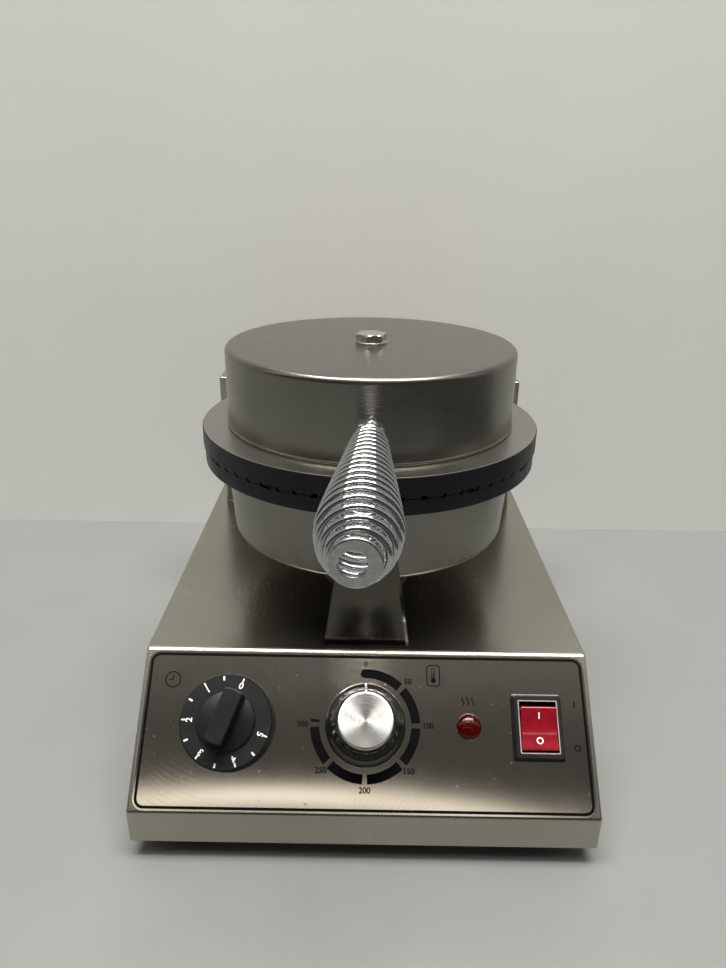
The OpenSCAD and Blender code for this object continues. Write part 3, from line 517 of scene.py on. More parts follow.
# Name, colour, roughness, metallic, change in tone, scale of the change and bump of each
PLAIN = {
    "bolt": ("bolt_steel", (0.62, 0.56, 0.49), 0.25, 1.0, 0.15, 120, 0.04),
    "steel": ("plain_steel", (0.55, 0.54, 0.52), 0.35, 1.0, 0.12, 70, 0.05),
    "zinc": ("zinc_screws", (0.66, 0.66, 0.66), 0.3, 1.0, 0.15, 200, 0.03),
    "chrome": ("chrome_wire", (0.47, 0.47, 0.475), 0.06, 1.0, 0.04, 90, 0.0),
    "chrome_ring": ("ring_metal", (0.42, 0.42, 0.42), 0.26, 1.0, 0.2, 420, 0.12),
    "gloss_black": ("knob_gloss", (0.012, 0.012, 0.013), 0.13, 0.0, 0.2, 50, 0.01),
    "matte_black": ("knob_matte", (0.009, 0.009, 0.010), 0.42, 0.0, 0.2, 80, 0.06),
    "frame_black": ("switch_black", (0.012, 0.013, 0.0125), 0.42, 0.0, 0.2, 80, 0.05),
    "rubber": ("foot_rubber", (0.02, 0.02, 0.02), 0.75, 0.0, 0.25, 90, 0.2),
    "lens": ("lamp_red", (0.045, 0.0002, 0.0004), 0.07, 0.0, 0.25, 120, 0.0),
    "rocker": ("rocker_red", (0.30, 0.004, 0.016), 0.16, 0.0, 0.25, 140, 0.02),
    # The switch film's rim: its pale pink tone is a painted highlight, the light caught by the edge of a clear
    # film over the red rocker.
    "film": ("film_rim_painted_highlight", (0.42, 0.3, 0.3), 0.22, 0.0, 0.1, 300, 0.05),
    "ink": ("black_ink", (0.002, 0.002, 0.003), 0.5, 0.0, 0.2, 200, 0.02),
    "white": ("white_ink", (0.85, 0.85, 0.84), 0.45, 0.0, 0.06, 200, 0.02),
    "pale": ("pale_plastic", (0.72, 0.7, 0.62), 0.45, 0.0, 0.06, 60, 0.05),
    "copper": ("copper_tube", (0.75, 0.4, 0.25), 0.25, 1.0, 0.15, 200, 0.02),
    "brass": ("brass_parts", (0.75, 0.58, 0.28), 0.28, 1.0, 0.12, 120, 0.03),
    "element": ("element_sheath", (0.12, 0.11, 0.1), 0.5, 0.6, 0.3, 90, 0.1),
    "fibre": ("insulation_fibre", (0.78, 0.75, 0.68), 0.95, 0.0, 0.12, 40, 0.6)}
SHINE = {
    "gloss_black": {"Coat_Weight": 0.5}, "matte_black": {"Specular_IOR_Level": 0.22},
    "frame_black": {"Specular_IOR_Level": 0.16}, "lens": {"Specular_IOR_Level": 0.3},
    "rocker": {"Transmission_Weight": 0.2, "Coat_Weight": 1.0}, "ink": {"Specular_IOR_Level": 0.06}}


def make_materials():
    MAT["base"] = steel("base_steel", (0.415, 0.389, 0.34), 0.26, (1800, 30, 30), 0.05, 0.25)[0]
    MAT["overlay"] = panel_steel("overlay_steel", (0.46, 0.425, 0.37), 0.12)
    # The support's steel is far darker than the other steel: painted shade, as the support stands in the shade
    # under the pan.
    MAT["bracket"] = steel("bracket_steel_painted_shade", (0.1, 0.094, 0.079), 0.22, (2400, 30, 30), 0.1, 0.3)[0]
    MAT["spun"] = spun_steel("spun_steel", (0.204, 0.199, 0.176), 0.29)
    MAT["machined"] = spun_steel("machined_rim", (0.33, 0.322, 0.29), 0.32, 1500)
    MAT["plate"] = cast_black("plate_black")
    MAT["cap"] = radial_cap("spun_cap", (0.96, 0.955, 0.94))
    for key, values in PLAIN.items():
        MAT[key] = plain(*values, **SHINE.get(key, {}))


def dress(obj, key, node=None, body=None, slot=None):
    """Gives a piece its material and body, and the CAD node that it stands for. slot is not used."""
    obj.data.materials.clear()
    obj.data.materials.append(MAT[key])
    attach(obj, BODY_OF[node] if node else body)
    if node:
        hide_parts(node)


# ---------------------------------------------------------------- base and panel

def base_outline(inset=0.0):
    """Side outline of the base in the Y-Z plane, moved inwards by inset."""
    foot = BASE_FOOT_Z - 4 * MM
    slope = math.atan2(DECK_Z - LIP_Z, BEND_Y - LIP_Y)
    at_lip, at_bend = inset * math.tan((math.pi / 2 - slope) / 2), inset * math.tan(slope / 2)
    return [(LIP_Y + inset, foot), (LIP_Y + inset, LIP_Z - at_lip), (BEND_Y + at_bend, DECK_Z - inset),
            (REAR_Y - inset, DECK_Z - inset), (REAR_Y - inset, foot)]


def make_base():
    shell = side_prism("base_shell", base_outline(), -HALF_W, HALF_W)
    bevel(shell, 1.4 * MM, 4)
    past = 10 * MM
    slab = block(-HALF_W - past, HALF_W + past, LIP_Y - past, REAR_Y + past, BASE_FOOT_Z - 2 * past,
                 BASE_FOOT_Z)
    cut(shell, slab, side_prism("inner", base_outline(SHEET), -HALF_W + SHEET, HALF_W - SHEET))
    z = (-5 * MM, 5 * MM)
    gland = middle("gland_body")
    cut(shell, block(SWITCH_X - 11.4 * MM, SWITCH_X + 11.4 * MM, -14.7 * MM, 14.9 * MM, *z, PANEL),
        rod(4 * MM, *z, PANEL @ shift(TIMER_X)), rod(4 * MM, *z, PANEL),
        rod(5.4 * MM, *z, PANEL @ shift(LAMP_X)), rod(12 * MM, *z, shift(0, PAN.y, DECK_Z)),
        rod(8.2 * MM, -6 * MM, 6 * MM, axis_matrix((gland.x, REAR_Y, gland.z), (0, 1, 0))))
    dress(smooth_by_angle(shell, 35), "base", "base_cover")


MARK = 0.05 * MM
INK_Z = (OVERLAY_T, OVERLAY_T + MARK)
PRINT = {"body": "root", "slot": "black_matte"}
DIAL_STEP, ARC_GAP = 45.0, 2.6
ARC_R0, ARC_R1 = 24.1 * MM, 28.9 * MM


def text_mesh(text, size, matrix, depth=MARK):
    """Flat generic characters as a mesh, centred on the matrix's origin."""
    curve = bpy.data.curves.new("text", "FONT")
    curve.body = text
    curve.size = size
    curve.align_x = curve.align_y = "CENTER"
    curve.extrude = depth / 2
    curve.offset = 0.09 * MM
    curve.resolution_u = 6
    obj = add_object("text", curve)
    mesh = evaluated_mesh(obj)
    remove(obj)
    return add_object("text", mesh, matrix)


def print_shapes(name, outlines):
    dress(join(name, [prism(name, outline, *INK_Z, PANEL) for outline in outlines]), "ink", **PRINT)


def arc_band(start, end, round_start=False):
    """Outline of a stretch of the dial's arc. Angles in degrees, clockwise from up."""
    a, b = 90 - start, 90 - end
    points = arc(ARC_R1, ARC_R1, a, b, 28) + arc(ARC_R0, ARC_R0, b, a, 28)
    if round_start:
        mid, half = (ARC_R1 + ARC_R0) / 2, (ARC_R1 - ARC_R0) / 2
        points += arc(half, half, a + 180, a, 8, *arc(mid, mid, a, a, 1)[0])
    return points


def make_panel():
    wide, s0, s1 = width("control_overlay"), PANEL_S0 + 0.9 * MM, PANEL_S1 - 1.9 * MM
    tall, mid = s1 - s0, (s0 + s1) / 2
    plate = prism("panel_plate", rounded_rect(wide, tall, 6 * MM, 0, mid, 8), 0, OVERLAY_T)
    bevel(plate, 0.2 * MM, 2)
    z = (-MM, 3 * MM)
    cut(plate, rod(3.6 * MM, *z, shift(TIMER_X)), rod(3.6 * MM, *z), rod(5 * MM, *z, shift(LAMP_X)),
        block(SWITCH_X - 11 * MM, SWITCH_X + 11 * MM, -14.3 * MM, 14.7 * MM, *z))
    plate.data.transform(PANEL)
    dress(smooth_by_angle(plate, 35), "overlay", "control_overlay")
    dress(frame_outline("panel_border", wide - 2.2 * MM, tall - 2.2 * MM, 5 * MM, 1.4 * MM, mid, *INK_Z,
                        PANEL), "ink", **PRINT)


def make_print():
    """The thermostat's arc, the numbers round it and the switch's signs."""
    bands = [arc_band(-1, DIAL_STEP - ARC_GAP, True)]
    bands += [arc_band(i * DIAL_STEP + ARC_GAP, (i + 1) * DIAL_STEP - ARC_GAP) for i in range(1, 6)]
    print_shapes("dial_arc", bands + [arc_band(6 * DIAL_STEP + ARC_GAP, 275.5)])
    texts = [("I", 4.6, SWITCH_X + 20.6 * MM, 12 * MM), ("O", 4.6, SWITCH_X + 20.2 * MM, -10 * MM)]
    for i in range(7):
        a, r = math.radians(i * DIAL_STEP), (33 if i in (2, 6) else 31.8) * MM
        texts.append((str(50 * i), 4.1, r * math.sin(a), r * math.cos(a) * (1.0 if i else 0.985)))
    labels = [text_mesh(text, size * MM, PANEL @ shift(x, y, OVERLAY_T + MARK / 2))
              for text, size, x, y in texts]
    dress(join("dial_numbers", labels), "ink", **PRINT)


def make_icons():
    """Clock, thermometer and heat signs, in place of words."""
    line = 0.6 * MM
    clock = Vector((-103.4 * MM, 21.8 * MM))
    face = arc(4 * MM, 4 * MM, 0, 360, 30, *clock)
    shapes = [stroke(face[:16], line), stroke(face[15:], line),
              stroke([clock, clock + Vector((0, 2.6 * MM))], line),
              stroke([clock, clock - Vector((2.2 * MM, 0))], line)]
    thermo = Vector((36.2 * MM, 26 * MM))
    x, bulb, side, top = thermo.x, thermo.y - 2.6 * MM, 0.8 * MM, thermo.y + 3.4 * MM
    box = rounded_rect(6.8 * MM, 10.8 * MM, 1.6 * MM, *thermo, 5)
    box.append(box[0])
    half = len(box) // 2
    tube = [(x - side, bulb + MM), (x - side, top), (x, top + 0.7 * MM), (x + side, top),
            (x + side, bulb + MM)]
    shapes += [stroke(box[:half + 1], 0.55 * MM), stroke(box[half:], 0.55 * MM),
               circle(1.35 * MM, 18, x, bulb), stroke(tube, 0.35 * MM),
               stroke([(x, bulb), (x, thermo.y + 1.4 * MM)], 0.55 * MM)]
    for k in (-1, 0, 1):
        shapes.append(stroke([(LAMP_X + (2.6 * k + 0.55 * math.sin(t * math.pi / 4)) * MM,
                               (11 + 0.5 * t) * MM) for t in range(9)], line))
    print_shapes("panel_icons", shapes)


def make_timer_knob():
    at = PANEL @ shift(TIMER_X, 0, KNOB_Z) @ turn(-20)
    r, t, bore = 24.2 * MM, 7 * MM, 3.05 * MM
    profile = [(bore, 0)] + fillet([(r - 0.3 * MM, 0), (r, 0.4 * MM), (r, t - MM), (r - 0.9 * MM, t)],
                                   [0, 0.2 * MM, 0.8 * MM, 0])
    profile += [(15.4 * MM, t), (15.1 * MM, t + 0.2 * MM), (14.9 * MM, t + 1.3 * MM),
                (14.4 * MM, t + 1.6 * MM), (bore, t + 1.6 * MM)]
    dress(lathe("timer_skirt", profile, 128, at), "matte_black", "timer_knob")

    back, front, wide, top = 12.5 * MM, 15.5 * MM, 10 * MM, 13 * MM
    mid, end_r = (front - back) / 2, (front + back) / 2
    end = math.degrees(math.asin(wide / 2 / end_r))
    outline = arc(end_r, end_r, 90 - end, 90 + end, 10, 0, mid)
    outline += arc(end_r, end_r, 270 - end, 270 + end, 10, 0, mid)
    grip = prism("timer_grip", outline, t + 0.4 * MM, t + top)
    bevel(grip, 0.7 * MM, 4, 40)
    grip.matrix_world = at
    dress(smooth_by_angle(grip, 30), "matte_black", "timer_knob")

    marks = []
    for i in range(11):
        place, numbered = at @ turn(i * 54.3 / 2), i % 2 == 0
        thick, y0, y1 = (0.75, 20.9, 23.0) if numbered else (0.95, 20.7, 22.9)
        marks.append(block(-thick / 2 * MM, thick / 2 * MM, y0 * MM, y1 * MM, t - 0.02 * MM, t + MARK,
                           place))
        if numbered:
            marks.append(text_mesh(str(i // 2), 4.6 * MM, place @ shift(0, 18.9 * MM, t + MARK / 2)))
    dress(join("timer_numerals", marks), "white", body="timer_dial", slot="black_matte")


def make_thermostat_knob():
    at = PANEL @ shift(0, 0, KNOB_Z)
    skirt_r, r1, r2, step_z, top = 21 * MM, 18.2 * MM, 15.6 * MM, 7 * MM, 22 * MM
    cap_r, cap_z, bore = 13.95 * MM, top - 1.6 * MM, 3.05 * MM
    # Radius, height and how deep the flutes are
    profile = [(bore, 0, 0), (skirt_r - 0.4 * MM, 0, 0), (skirt_r, 0.4 * MM, 0), (skirt_r, 2.6 * MM, 0),
               (skirt_r - 0.3 * MM, 3.1 * MM, 0), (r1 + 0.8 * MM, step_z - 0.4 * MM, 0),
               (r1 + 0.25 * MM, step_z, 0), (r1, step_z + 0.8 * MM, 0.7),
               (r1 - 0.25 * MM, step_z + 2.2 * MM, 1.0), (r2 + 0.35 * MM, top - 2.2 * MM, 1.0),
               (r2 + 0.1 * MM, top - 0.8 * MM, 0.4), (r2 - 0.35 * MM, top - 0.15 * MM, 0),
               (r2 - 0.8 * MM, top, 0), (cap_r, top, 0), (cap_r, cap_z, 0), (bore, cap_z, 0)]
    flutes, per_flute, deep, wide = 20, 10, 0.4 * MM, 0.62
    around = circle(1, flutes * per_flute)
    waves = [max(0.0, 1 - (abs(i / per_flute % 1 - 0.5) * 2 / wide) ** 2) for i in range(len(around))]
    rings = [[((r - depth * deep * wave) * x, (r - depth * deep * wave) * y, z)
              for wave, (x, y) in zip(waves, around)] for r, z, depth in profile]
    grip = loft("thermostat_grip", rings, at, closed=True)
    dress(smooth_by_angle(grip, 38), "gloss_black", "thermostat_knob")

    edge, lip = cap_r - 0.05 * MM, top + 0.7 * MM
    disc = [(0, cap_z), (edge, cap_z), (edge, lip)]
    disc += fillet([(edge, lip), (edge, lip + 0.8 * MM), (cap_r - 1.4 * MM, top + 1.6 * MM)],
                   [0, 0.5 * MM, 0])
    dress(lathe("thermostat_disc", disc + [(0, top + 1.6 * MM)], 128, at), "cap", "thermostat_cap")

    line, lift = 0.55 * MM, Vector((0, 0.1 * MM, 0.12 * MM))

    def strip(y0, z0, y1, z1):
        corners = [Vector(p) for p in ((-line, y0, z0), (line, y0, z0), (line, y1, z1), (-line, y1, z1))]
        return loft("strip", [[p + lift for p in corners], [p - lift for p in corners]], at)
    pointer = [strip(skirt_r - 0.1 * MM, 2.9 * MM, r1 + 0.8 * MM, step_z - 0.35 * MM),
               strip(r1 + 0.15 * MM, step_z + 0.3 * MM, r2 + 0.2 * MM, top - 0.8 * MM),
               block(-line, line, cap_r + 0.1 * MM, r2 - 0.5 * MM, top - 0.02 * MM, top + 0.12 * MM, at)]
    dress(join("thermostat_pointer", pointer), "white", body="thermostat_dial", slot="black_gloss")


def make_lamp():
    at = PANEL @ shift(LAMP_X, 0, OVERLAY_T)
    r, h, stem_r, wall = 6.5 * MM, 4.4 * MM, 4.9 * MM, 1.3 * MM
    profile = [(0, -1.8 * MM), (stem_r, -1.8 * MM), (stem_r, 0), (r, 0), (r, 1.1 * MM)]
    profile += arc(r, h - wall, 0, 90, 12, 0, wall)[1:-1] + [(0, h)]
    dress(lathe("lamp_dome", profile, 64, at), "lens", "lamp_lens")


def make_switch():
    local = PANEL.inverted() @ Vector(JOINTS["rocker_tilt"]["pos_m"])
    at = PANEL @ shift(local.x, local.y)
    w, h, top, taper = 27 * MM, 34 * MM, 4.8 * MM, 2.6 * MM
    outline = rounded_rect(w, h, 1.6 * MM, 0, 0, 5)
    bezel = loft("switch_bezel", [[(x, y, OVERLAY_T) for x, y in outline],
                                  [(x * (w - taper) / w, y * (h - taper) / h, top) for x, y in outline]])
    bevel(bezel, 0.5 * MM, 3, 40)
    well_w, well_h, deep = 19.6 * MM, 25.6 * MM, 11 * MM
    unite(bezel, block(-10.8 * MM, 10.8 * MM, -14.3 * MM, 14.3 * MM, -20 * MM, OVERLAY_T + 0.2 * MM))
    cut(bezel, block(-well_w / 2, well_w / 2, -well_h / 2, well_h / 2, top - deep, top + 5 * MM))
    bevel(bezel, 0.18 * MM, 2, 60)
    bezel.matrix_world = at
    dress(smooth_by_angle(bezel, 30), "frame_black", "switch_frame")

    half, rise, floor, sag, edge, steps = 11 * MM, 8 * MM, 2.4 * MM, 1.4 * MM, 0.6 * MM, 10
    reach = half - edge
    outline = [(-half + 2 * MM, -floor), (-half, rise - MM)]
    outline += [(reach * (2 * k / steps - 1), rise - sag * (1 - (2 * k / steps - 1) ** 2))
                for k in range(steps + 1)]
    outline += [(half, rise - MM), (half - 2 * MM, -floor)]
    rocker = side_prism("rocker_cap", outline, -9.3 * MM, 9.3 * MM)
    bevel(rocker, 0.45 * MM, 3, 40)
    place = PANEL @ shift(*local) @ turn(7, "X")
    rocker.matrix_world = place
    dress(smooth_by_angle(rocker, 30), "rocker", "power_rocker")

    y = 0.56 * half
    sign_z = rise - sag * (1 - (y / reach) ** 2) + 0.03 * MM
    lean = math.atan(2 * sag * y / reach ** 2)
    signs = [text_mesh(text, 4.6 * MM, place @ shift(0, way * y, sign_z)
                       @ Matrix.Rotation(way * lean, 4, "X"), 0.12 * MM)
             for way, text in ((-1, "O"), (1, "I"))]
    dress(join("rocker_marks", signs), "white", body="rocker", slot="red_rocker")
    # The film's rim is an opaque pale pink line that paints the highlight on the clear film's edge.
    dress(frame_outline("switch_film", well_w + MM, well_h + MM, 0.8 * MM, 0.55 * MM, 0,
                        top - 0.05 * MM, top + 0.35 * MM, at), "film", **PRINT)


# ---------------------------------------------------------------- pan, lid and their support

def make_support():
    lo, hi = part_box("front_support")
    front, t = lo.y + 2.5 * MM, 1.5 * MM
    foot_w, top_w = (hi.x - lo.x) / 2, 14.5 * MM
    column = prism("support_column", [(-foot_w, DECK_Z), (foot_w, DECK_Z), (top_w, hi.z),
                                      (-top_w, hi.z)], 0, t)
    column.data.transform(shift(0, front + t) @ turn(90, "X"))
    flange_z = LOW_SHELL_Z - 0.1 * MM
    flange_w = foot_w + (top_w - foot_w) * (flange_z - DECK_Z) / (hi.z - DECK_Z)
    parts = [block(-foot_w, foot_w, lo.y, front + t, DECK_Z, DECK_Z + t)]
    for side in (-1, 1):
        parts.append(loft("flange", [[(side * foot_w, y, DECK_Z), (side * (foot_w - t), y, DECK_Z),
                                      (side * (flange_w - t), y, flange_z), (side * flange_w, y, flange_z)]
                                     for y in (front, hi.y)]))
    unite(column, *parts)
    bevel(column, 0.4 * MM, 3, 40)
    # Its dark steel paints the shade under the pan.
    dress(smooth_by_angle(column, 30), "bracket", "front_support")


def make_lower_shell():
    h, corner, hole = PLATE_BOT - LOW_SHELL_Z, 4 * MM, 12 * MM
    r0, r1 = LOW_SHELL_TOP_R - 3.2 * MM, LOW_SHELL_TOP_R
    outer = fillet([(hole, 0), (r0, 0), (r1, h)], [0, corner, 0], 8)
    inner = fillet([(hole, SHEET), (r0 - SHEET, SHEET), (r1 - SHEET, h)], [0, corner - SHEET, 0], 8)
    pan = lathe("lower_pan", outer + inner[::-1], 160)
    pan.data.transform(above_pan(LOW_SHELL_Z))
    dress(pan, "spun", "lower_shell")


def make_upper_shell():
    h, corner, hole, r = SHELL_TOP - SHELL_BASE, 3.2 * MM, 5.3 * MM, SHELL_R
    foot, in_r = 2 * BEAD_R + 0.4 * MM, r - SHEET
    outer = fillet([(hole, h), (r, h), (r, foot)], [0, corner, 0], 10)
    inner = fillet([(hole, h - SHEET), (in_r, h - SHEET), (in_r, foot)], [0, corner - SHEET, 0], 10)
    rim = arc(BEAD_R, BEAD_R, 60, -180, 12, in_r + BEAD_R, BEAD_R)
    cap = lathe("lid_cap", outer + rim + inner[::-1], 192)
    cap.data.transform(above_pan(SHELL_BASE))
    back = (0, 1, 0)
    cut(cap, rod(4.5 * MM, 0, 12 * MM, axis_matrix((0, PAN.y - r - 6 * MM, HANDLE_Z), back)),
        rod(6 * MM, -6 * MM, 6 * MM, axis_matrix((0, PAN.y + r, middle("lid_grommet").z), back)))
    dress(smooth_by_angle(cap, 40), "spun", "upper_shell")


GRID_STEP, GRID_W, GRID_DEEP = 9.6 * MM, 1.8 * MM, 1.2 * MM


def make_casting(name, node, r, bottom, top, edges, flat, face_z, hole):
    """A round plate whose face at face_z has a diamond grid of grooves. edges are its rounded edges'
    radii, flat is how far in its top starts, and hole is the bolt's radius, start and end."""
    h = top - bottom
    profile = fillet([(r - 4 * MM, 0), (r, 0), (r, h), (r - flat, h)], [0, *edges, 0])
    plate = lathe(name, [(0, 0)] + profile + [(0, h)], 192)
    plate.data.transform(above_pan(bottom))
    rows = int(r / GRID_STEP)
    for spin in (45, -45):
        bars = join("bars", [block(i * GRID_STEP - GRID_W / 2, i * GRID_STEP + GRID_W / 2, -r - MM, r + MM,
                                   face_z - GRID_DEEP, face_z + GRID_DEEP)
                             for i in range(-rows, rows + 1)])
        bars.data.transform(above_pan() @ turn(spin))
        cut(plate, bars, solver="MANIFOLD")
    cut(plate, rod(*hole, above_pan()))
    dress(smooth_by_angle(plate, 35), "plate", node)
    return plate


def make_plates():
    sharp, soft = 0.5 * MM, 0.8 * MM
    upper = make_casting("upper_casting", "upper_plate", PLATE_R, PART_UP, PLATE_TOP, (sharp, soft),
                         6 * MM, PART_UP, (5 * MM, PLATE_TOP - 5 * MM, PLATE_TOP + 5 * MM))
    upper.data.materials.append(MAT["machined"])
    for face in upper.data.polygons:
        if face.normal.z > 0.97 and face.center.z > PLATE_TOP - 0.5 * MM:
            face.material_index = 1
    make_casting("lower_casting", "lower_plate", LOW_PLATE_R, PLATE_BOT, PART_LOW, (soft, sharp),
                 4 * MM, PART_LOW, (4.5 * MM, PLATE_BOT - 5 * MM, PLATE_BOT + 4 * MM))


def make_centre_bolt():
    head_z, nut_z = SHELL_TOP + MM, high("upper_clamp_plate").z
    parts = [hex_head("bolt_head", 16 * MM, 4.4 * MM, above_pan(head_z), 0.9 * MM, 12),
             rod(5 * MM, low("centre_bolt").z, head_z + 0.2 * MM, above_pan()),
             hex_head("bolt_nut", 16 * MM, 6 * MM, above_pan(nut_z), 0.7 * MM)]
    dress(join("lid_bolt", parts), "bolt", "centre_bolt")
    r0, r1 = 5.1 * MM, 9.5 * MM
    washer = lathe("lid_washer", fillet([(r0, 0), (r1, 0), (r1, MM), (r0, MM)], 0.25 * MM, 3), 64,
                   above_pan(SHELL_TOP))
    dress(washer, "bolt", "bolt_washer")


# ---------------------------------------------------------------- handle

HANDLE_Z = middle("handle_stud").z
# Z of the handle's frame runs out of the lid's wall along the grip, which is set 2.2 degrees askew
HANDLE = shift(0, PAN.y - SHELL_R, HANDLE_Z) @ turn(-2.2) @ turn(90, "X")
WIRE_D = 2.8 * MM
COIL_START = 7.1 * MM
COIL_LEN = 125 * MM
# The turns are a pitch apart, and after the first 16 each is a little closer than the one before
PITCH, CLOSING_AT, CLOSING = 6.5 * MM, 16, 0.42 * MM
# Outer radius of the coil at distances from its root, in mm
COIL_PROFILE = [(-4, 6.0), (0, 6.65), (4, 7.9), (12, 9.2), (24, 10.3), (40, 11.6), (60, 13.3),
                (80, 15.0), (92, 15.9), (102, 16.3), (108, 15.8), (114, 14.5), (119, 12.4), (123, 10.2),
                (126, 8.6), (130, 6.5)]


def coil_radius(t):
    """Outer radius of the coil at a distance t from its root, on a smooth curve."""
    pts = COIL_PROFILE
    k = next(i for i in range(1, len(pts) - 2) if t / MM <= pts[i + 1][0])
    (x0, y0), (x1, y1), (x2, y2), (x3, y3) = pts[k - 1:k + 3]
    h = x2 - x1
    u = (t / MM - x1) / h
    m1, m2 = (y2 - y0) / (x2 - x0) * h, (y3 - y1) / (x3 - x1) * h
    return MM * ((2 * u**3 - 3 * u**2 + 1) * y1 + (u**3 - 2 * u**2 + u) * m1
                 + (3 * u**2 - 2 * u**3) * y2 + (u**3 - u**2) * m2)


def make_coil():
    rest = COIL_LEN - WIRE_D + 0.2 * MM - PITCH * CLOSING_AT
    turns = CLOSING_AT + (PITCH - math.sqrt(PITCH ** 2 - 4 * CLOSING * rest)) / (2 * CLOSING)
    count = int(turns * 44)
    points = []
    for i in range(count + 1):
        done = turns * i / count
        t = PITCH * done - CLOSING * max(0.0, done - CLOSING_AT) ** 2
        r = coil_radius(t) - WIRE_D / 2
        a = math.tau * done
        points.append((r * math.cos(a), r * math.sin(a), t + WIRE_D / 2 + COIL_START))
    coil = tube_along("coil_wire", points, WIRE_D / 2, 14)
    coil.matrix_world = HANDLE
    dress(coil, "chrome", "handle_coil")


def make_handle_ends():
    thick, off, around = 2.4 * MM, 0.9 * MM, math.radians(190)
    ring = rod(9.4 * MM, 0, thick, None, 96)
    bevel(ring, 0.8 * MM, 4, 40)
    cut(ring, rod(4.9 * MM, -MM, thick + MM, shift(off * math.cos(around), off * math.sin(around)), 96))
    bevel(ring, 0.35 * MM, 3, 60)
    ring.name = "coil_end"
    ring.matrix_world = HANDLE @ shift(0, 0, COIL_START + COIL_LEN)
    dress(smooth_by_angle(ring, 30), "chrome_ring", "handle_end_ring")
    nut = hex_head("handle_hex", 13 * MM, 6.5 * MM, HANDLE @ shift(0, 0, 0.3 * MM), 0.8 * MM, 22,
                   4 * MM, both=True)
    dress(nut, "zinc", "handle_nut")


# ---------------------------------------------------------------- hinge tower and rear

def make_tower():
    lo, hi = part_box("hinge_tower")
    y0, y1, z0, z1, w = lo.y, hi.y, DECK_Z, hi.z, hi.x
    box = side_prism("tower_shell", [(y0, z0 - 4 * MM), (y0, z1), (y1, z1), (y1, z0 - 4 * MM)], -w, w)
    bevel(box, 1.4 * MM, 4)
    grommet = middle("tower_grommet")
    arm_x, slot_w = 36 * MM, 9 * MM
    slots = [block(x - slot_w / 2, x + slot_w / 2, y0 - MM, y0 + 45 * MM, z1 - 12 * MM, z1 + 2 * MM)
             for x in (-arm_x, arm_x)]
    cut(box, block(-w - MM, w + MM, y0 - MM, y1 + MM, z0 - 10 * MM, z0),
        block(-w + SHEET, w - SHEET, y0 + SHEET, y1 - SHEET, z0 - 9 * MM, z1 - SHEET), *slots,
        rod(6 * MM, z1 - 3 * MM, z1 + 3 * MM, shift(grommet.x, grommet.y)))
    bevel(box, 0.2 * MM, 2, 60)
    dress(smooth_by_angle(box, 35), "base", "hinge_tower")


def make_screw_heads(name, node, places, radius, height, shank_r, shank_l):
    """Pan-head cross screws. places are (origin, outward axis)."""
    profile = [(0, -shank_l), (shank_r, -shank_l), (shank_r, 0), (radius, 0), (radius, 0.35 * height),
               (0.86 * radius, 0.78 * height), (0.5 * radius, height), (0, height)]
    reach, half = 0.62 * radius, 0.1 * radius
    z = (0.45 * height, height + MM)
    heads = []
    for k, (origin, axis) in enumerate(places):
        head = lathe("head", profile, 32)
        cut(head, block(-reach, reach, -half, half, *z), block(-half, half, -reach, reach, *z))
        head.matrix_world = axis_matrix(origin, axis, 0.6 * k)
        heads.append(smooth_by_angle(head, 35))
    dress(join(name, heads), "zinc", node)


def make_screws():
    z = middle("case_screws").z
    rows = [LIP_Y + 40 * MM, (LIP_Y + REAR_Y) / 2, REAR_Y - 40 * MM]
    places = [((side * HALF_W, y, z), (side, 0, 0)) for y in rows for side in (-1, 1)]
    places += [((x * MM, REAR_Y, z), (0, 1, 0)) for x in (-80, 0, 80)]
    make_screw_heads("side_screws", "case_screws", places, 2.8 * MM, 1.4 * MM, 1.25 * MM, 5 * MM)
    rear, z = high("hinge_tower").y, middle("tower_screws").z
    places = [((x * MM, rear, z), (0, 1, 0)) for x in (-90, 90)]
    make_screw_heads("tower_heads", "tower_screws", places, 3.2 * MM, 1.8 * MM, 1.7 * MM, 8 * MM)


def make_gland():
    centre = middle("gland_body")
    at = axis_matrix((centre.x, REAR_Y, centre.z), (0, 1, 0))
    bore, r, shoulder, end = 4 * MM, 10 * MM, 13.4 * MM, 20 * MM
    round_in = 3.2 * MM
    nose = [(bore, 5 * MM), (r, 5 * MM), (r, shoulder)]
    nose += arc(round_in, end - shoulder, 0, 90, 6, r - round_in, shoulder)[1:]
    nose += [(bore + 0.8 * MM, end), (bore, end - 0.6 * MM)]
    root_r, crest_r = 7.4 * MM, 8 * MM
    thread = [(bore, -12 * MM), (root_r, -12 * MM)]
    for k in range(10):
        z = (-11.8 + 1.2 * k) * MM
        thread += [(crest_r, z + 0.3 * MM), (crest_r, z + 0.5 * MM), (root_r, z + 0.9 * MM)]
    thread += [(root_r, 0.2 * MM), (bore, 0.2 * MM)]
    parts = [lathe("dome", nose, 64, at), lathe("stem", thread, 64, at),
             hex_head("base", 22 * MM, 6 * MM, at, 0.9 * MM, 0.0, bore, both=True)]
    parts += [block(9.6 * MM, 10.5 * MM, -0.7 * MM, 0.7 * MM, 6.6 * MM, 13.2 * MM, at @ turn(30 * k))
              for k in range(12)]
    dress(join("cable_gland", parts), "matte_black", "gland_body")


def make_feet():
    lo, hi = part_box("rubber_feet")
    r, screw_r, recess_r = 10 * MM, 2.5 * MM, 5.5 * MM
    profile = fillet([(screw_r, 4 * MM), (recess_r, 4 * MM), (recess_r, 0), (r - 1.5 * MM, 0),
                      (r, 3 * MM), (r, hi.z), (screw_r, hi.z)],
                     [0, 0.3 * MM, 0.6 * MM, 0.8 * MM, 1.2 * MM, 0.6 * MM, 0], 3)
    feet = [lathe("foot", profile, 48, shift(x, y))
            for x in (lo.x + r, hi.x - r) for y in (lo.y + r, hi.y - r)]
    dress(join("foot_pads", feet), "rubber", "rubber_feet")


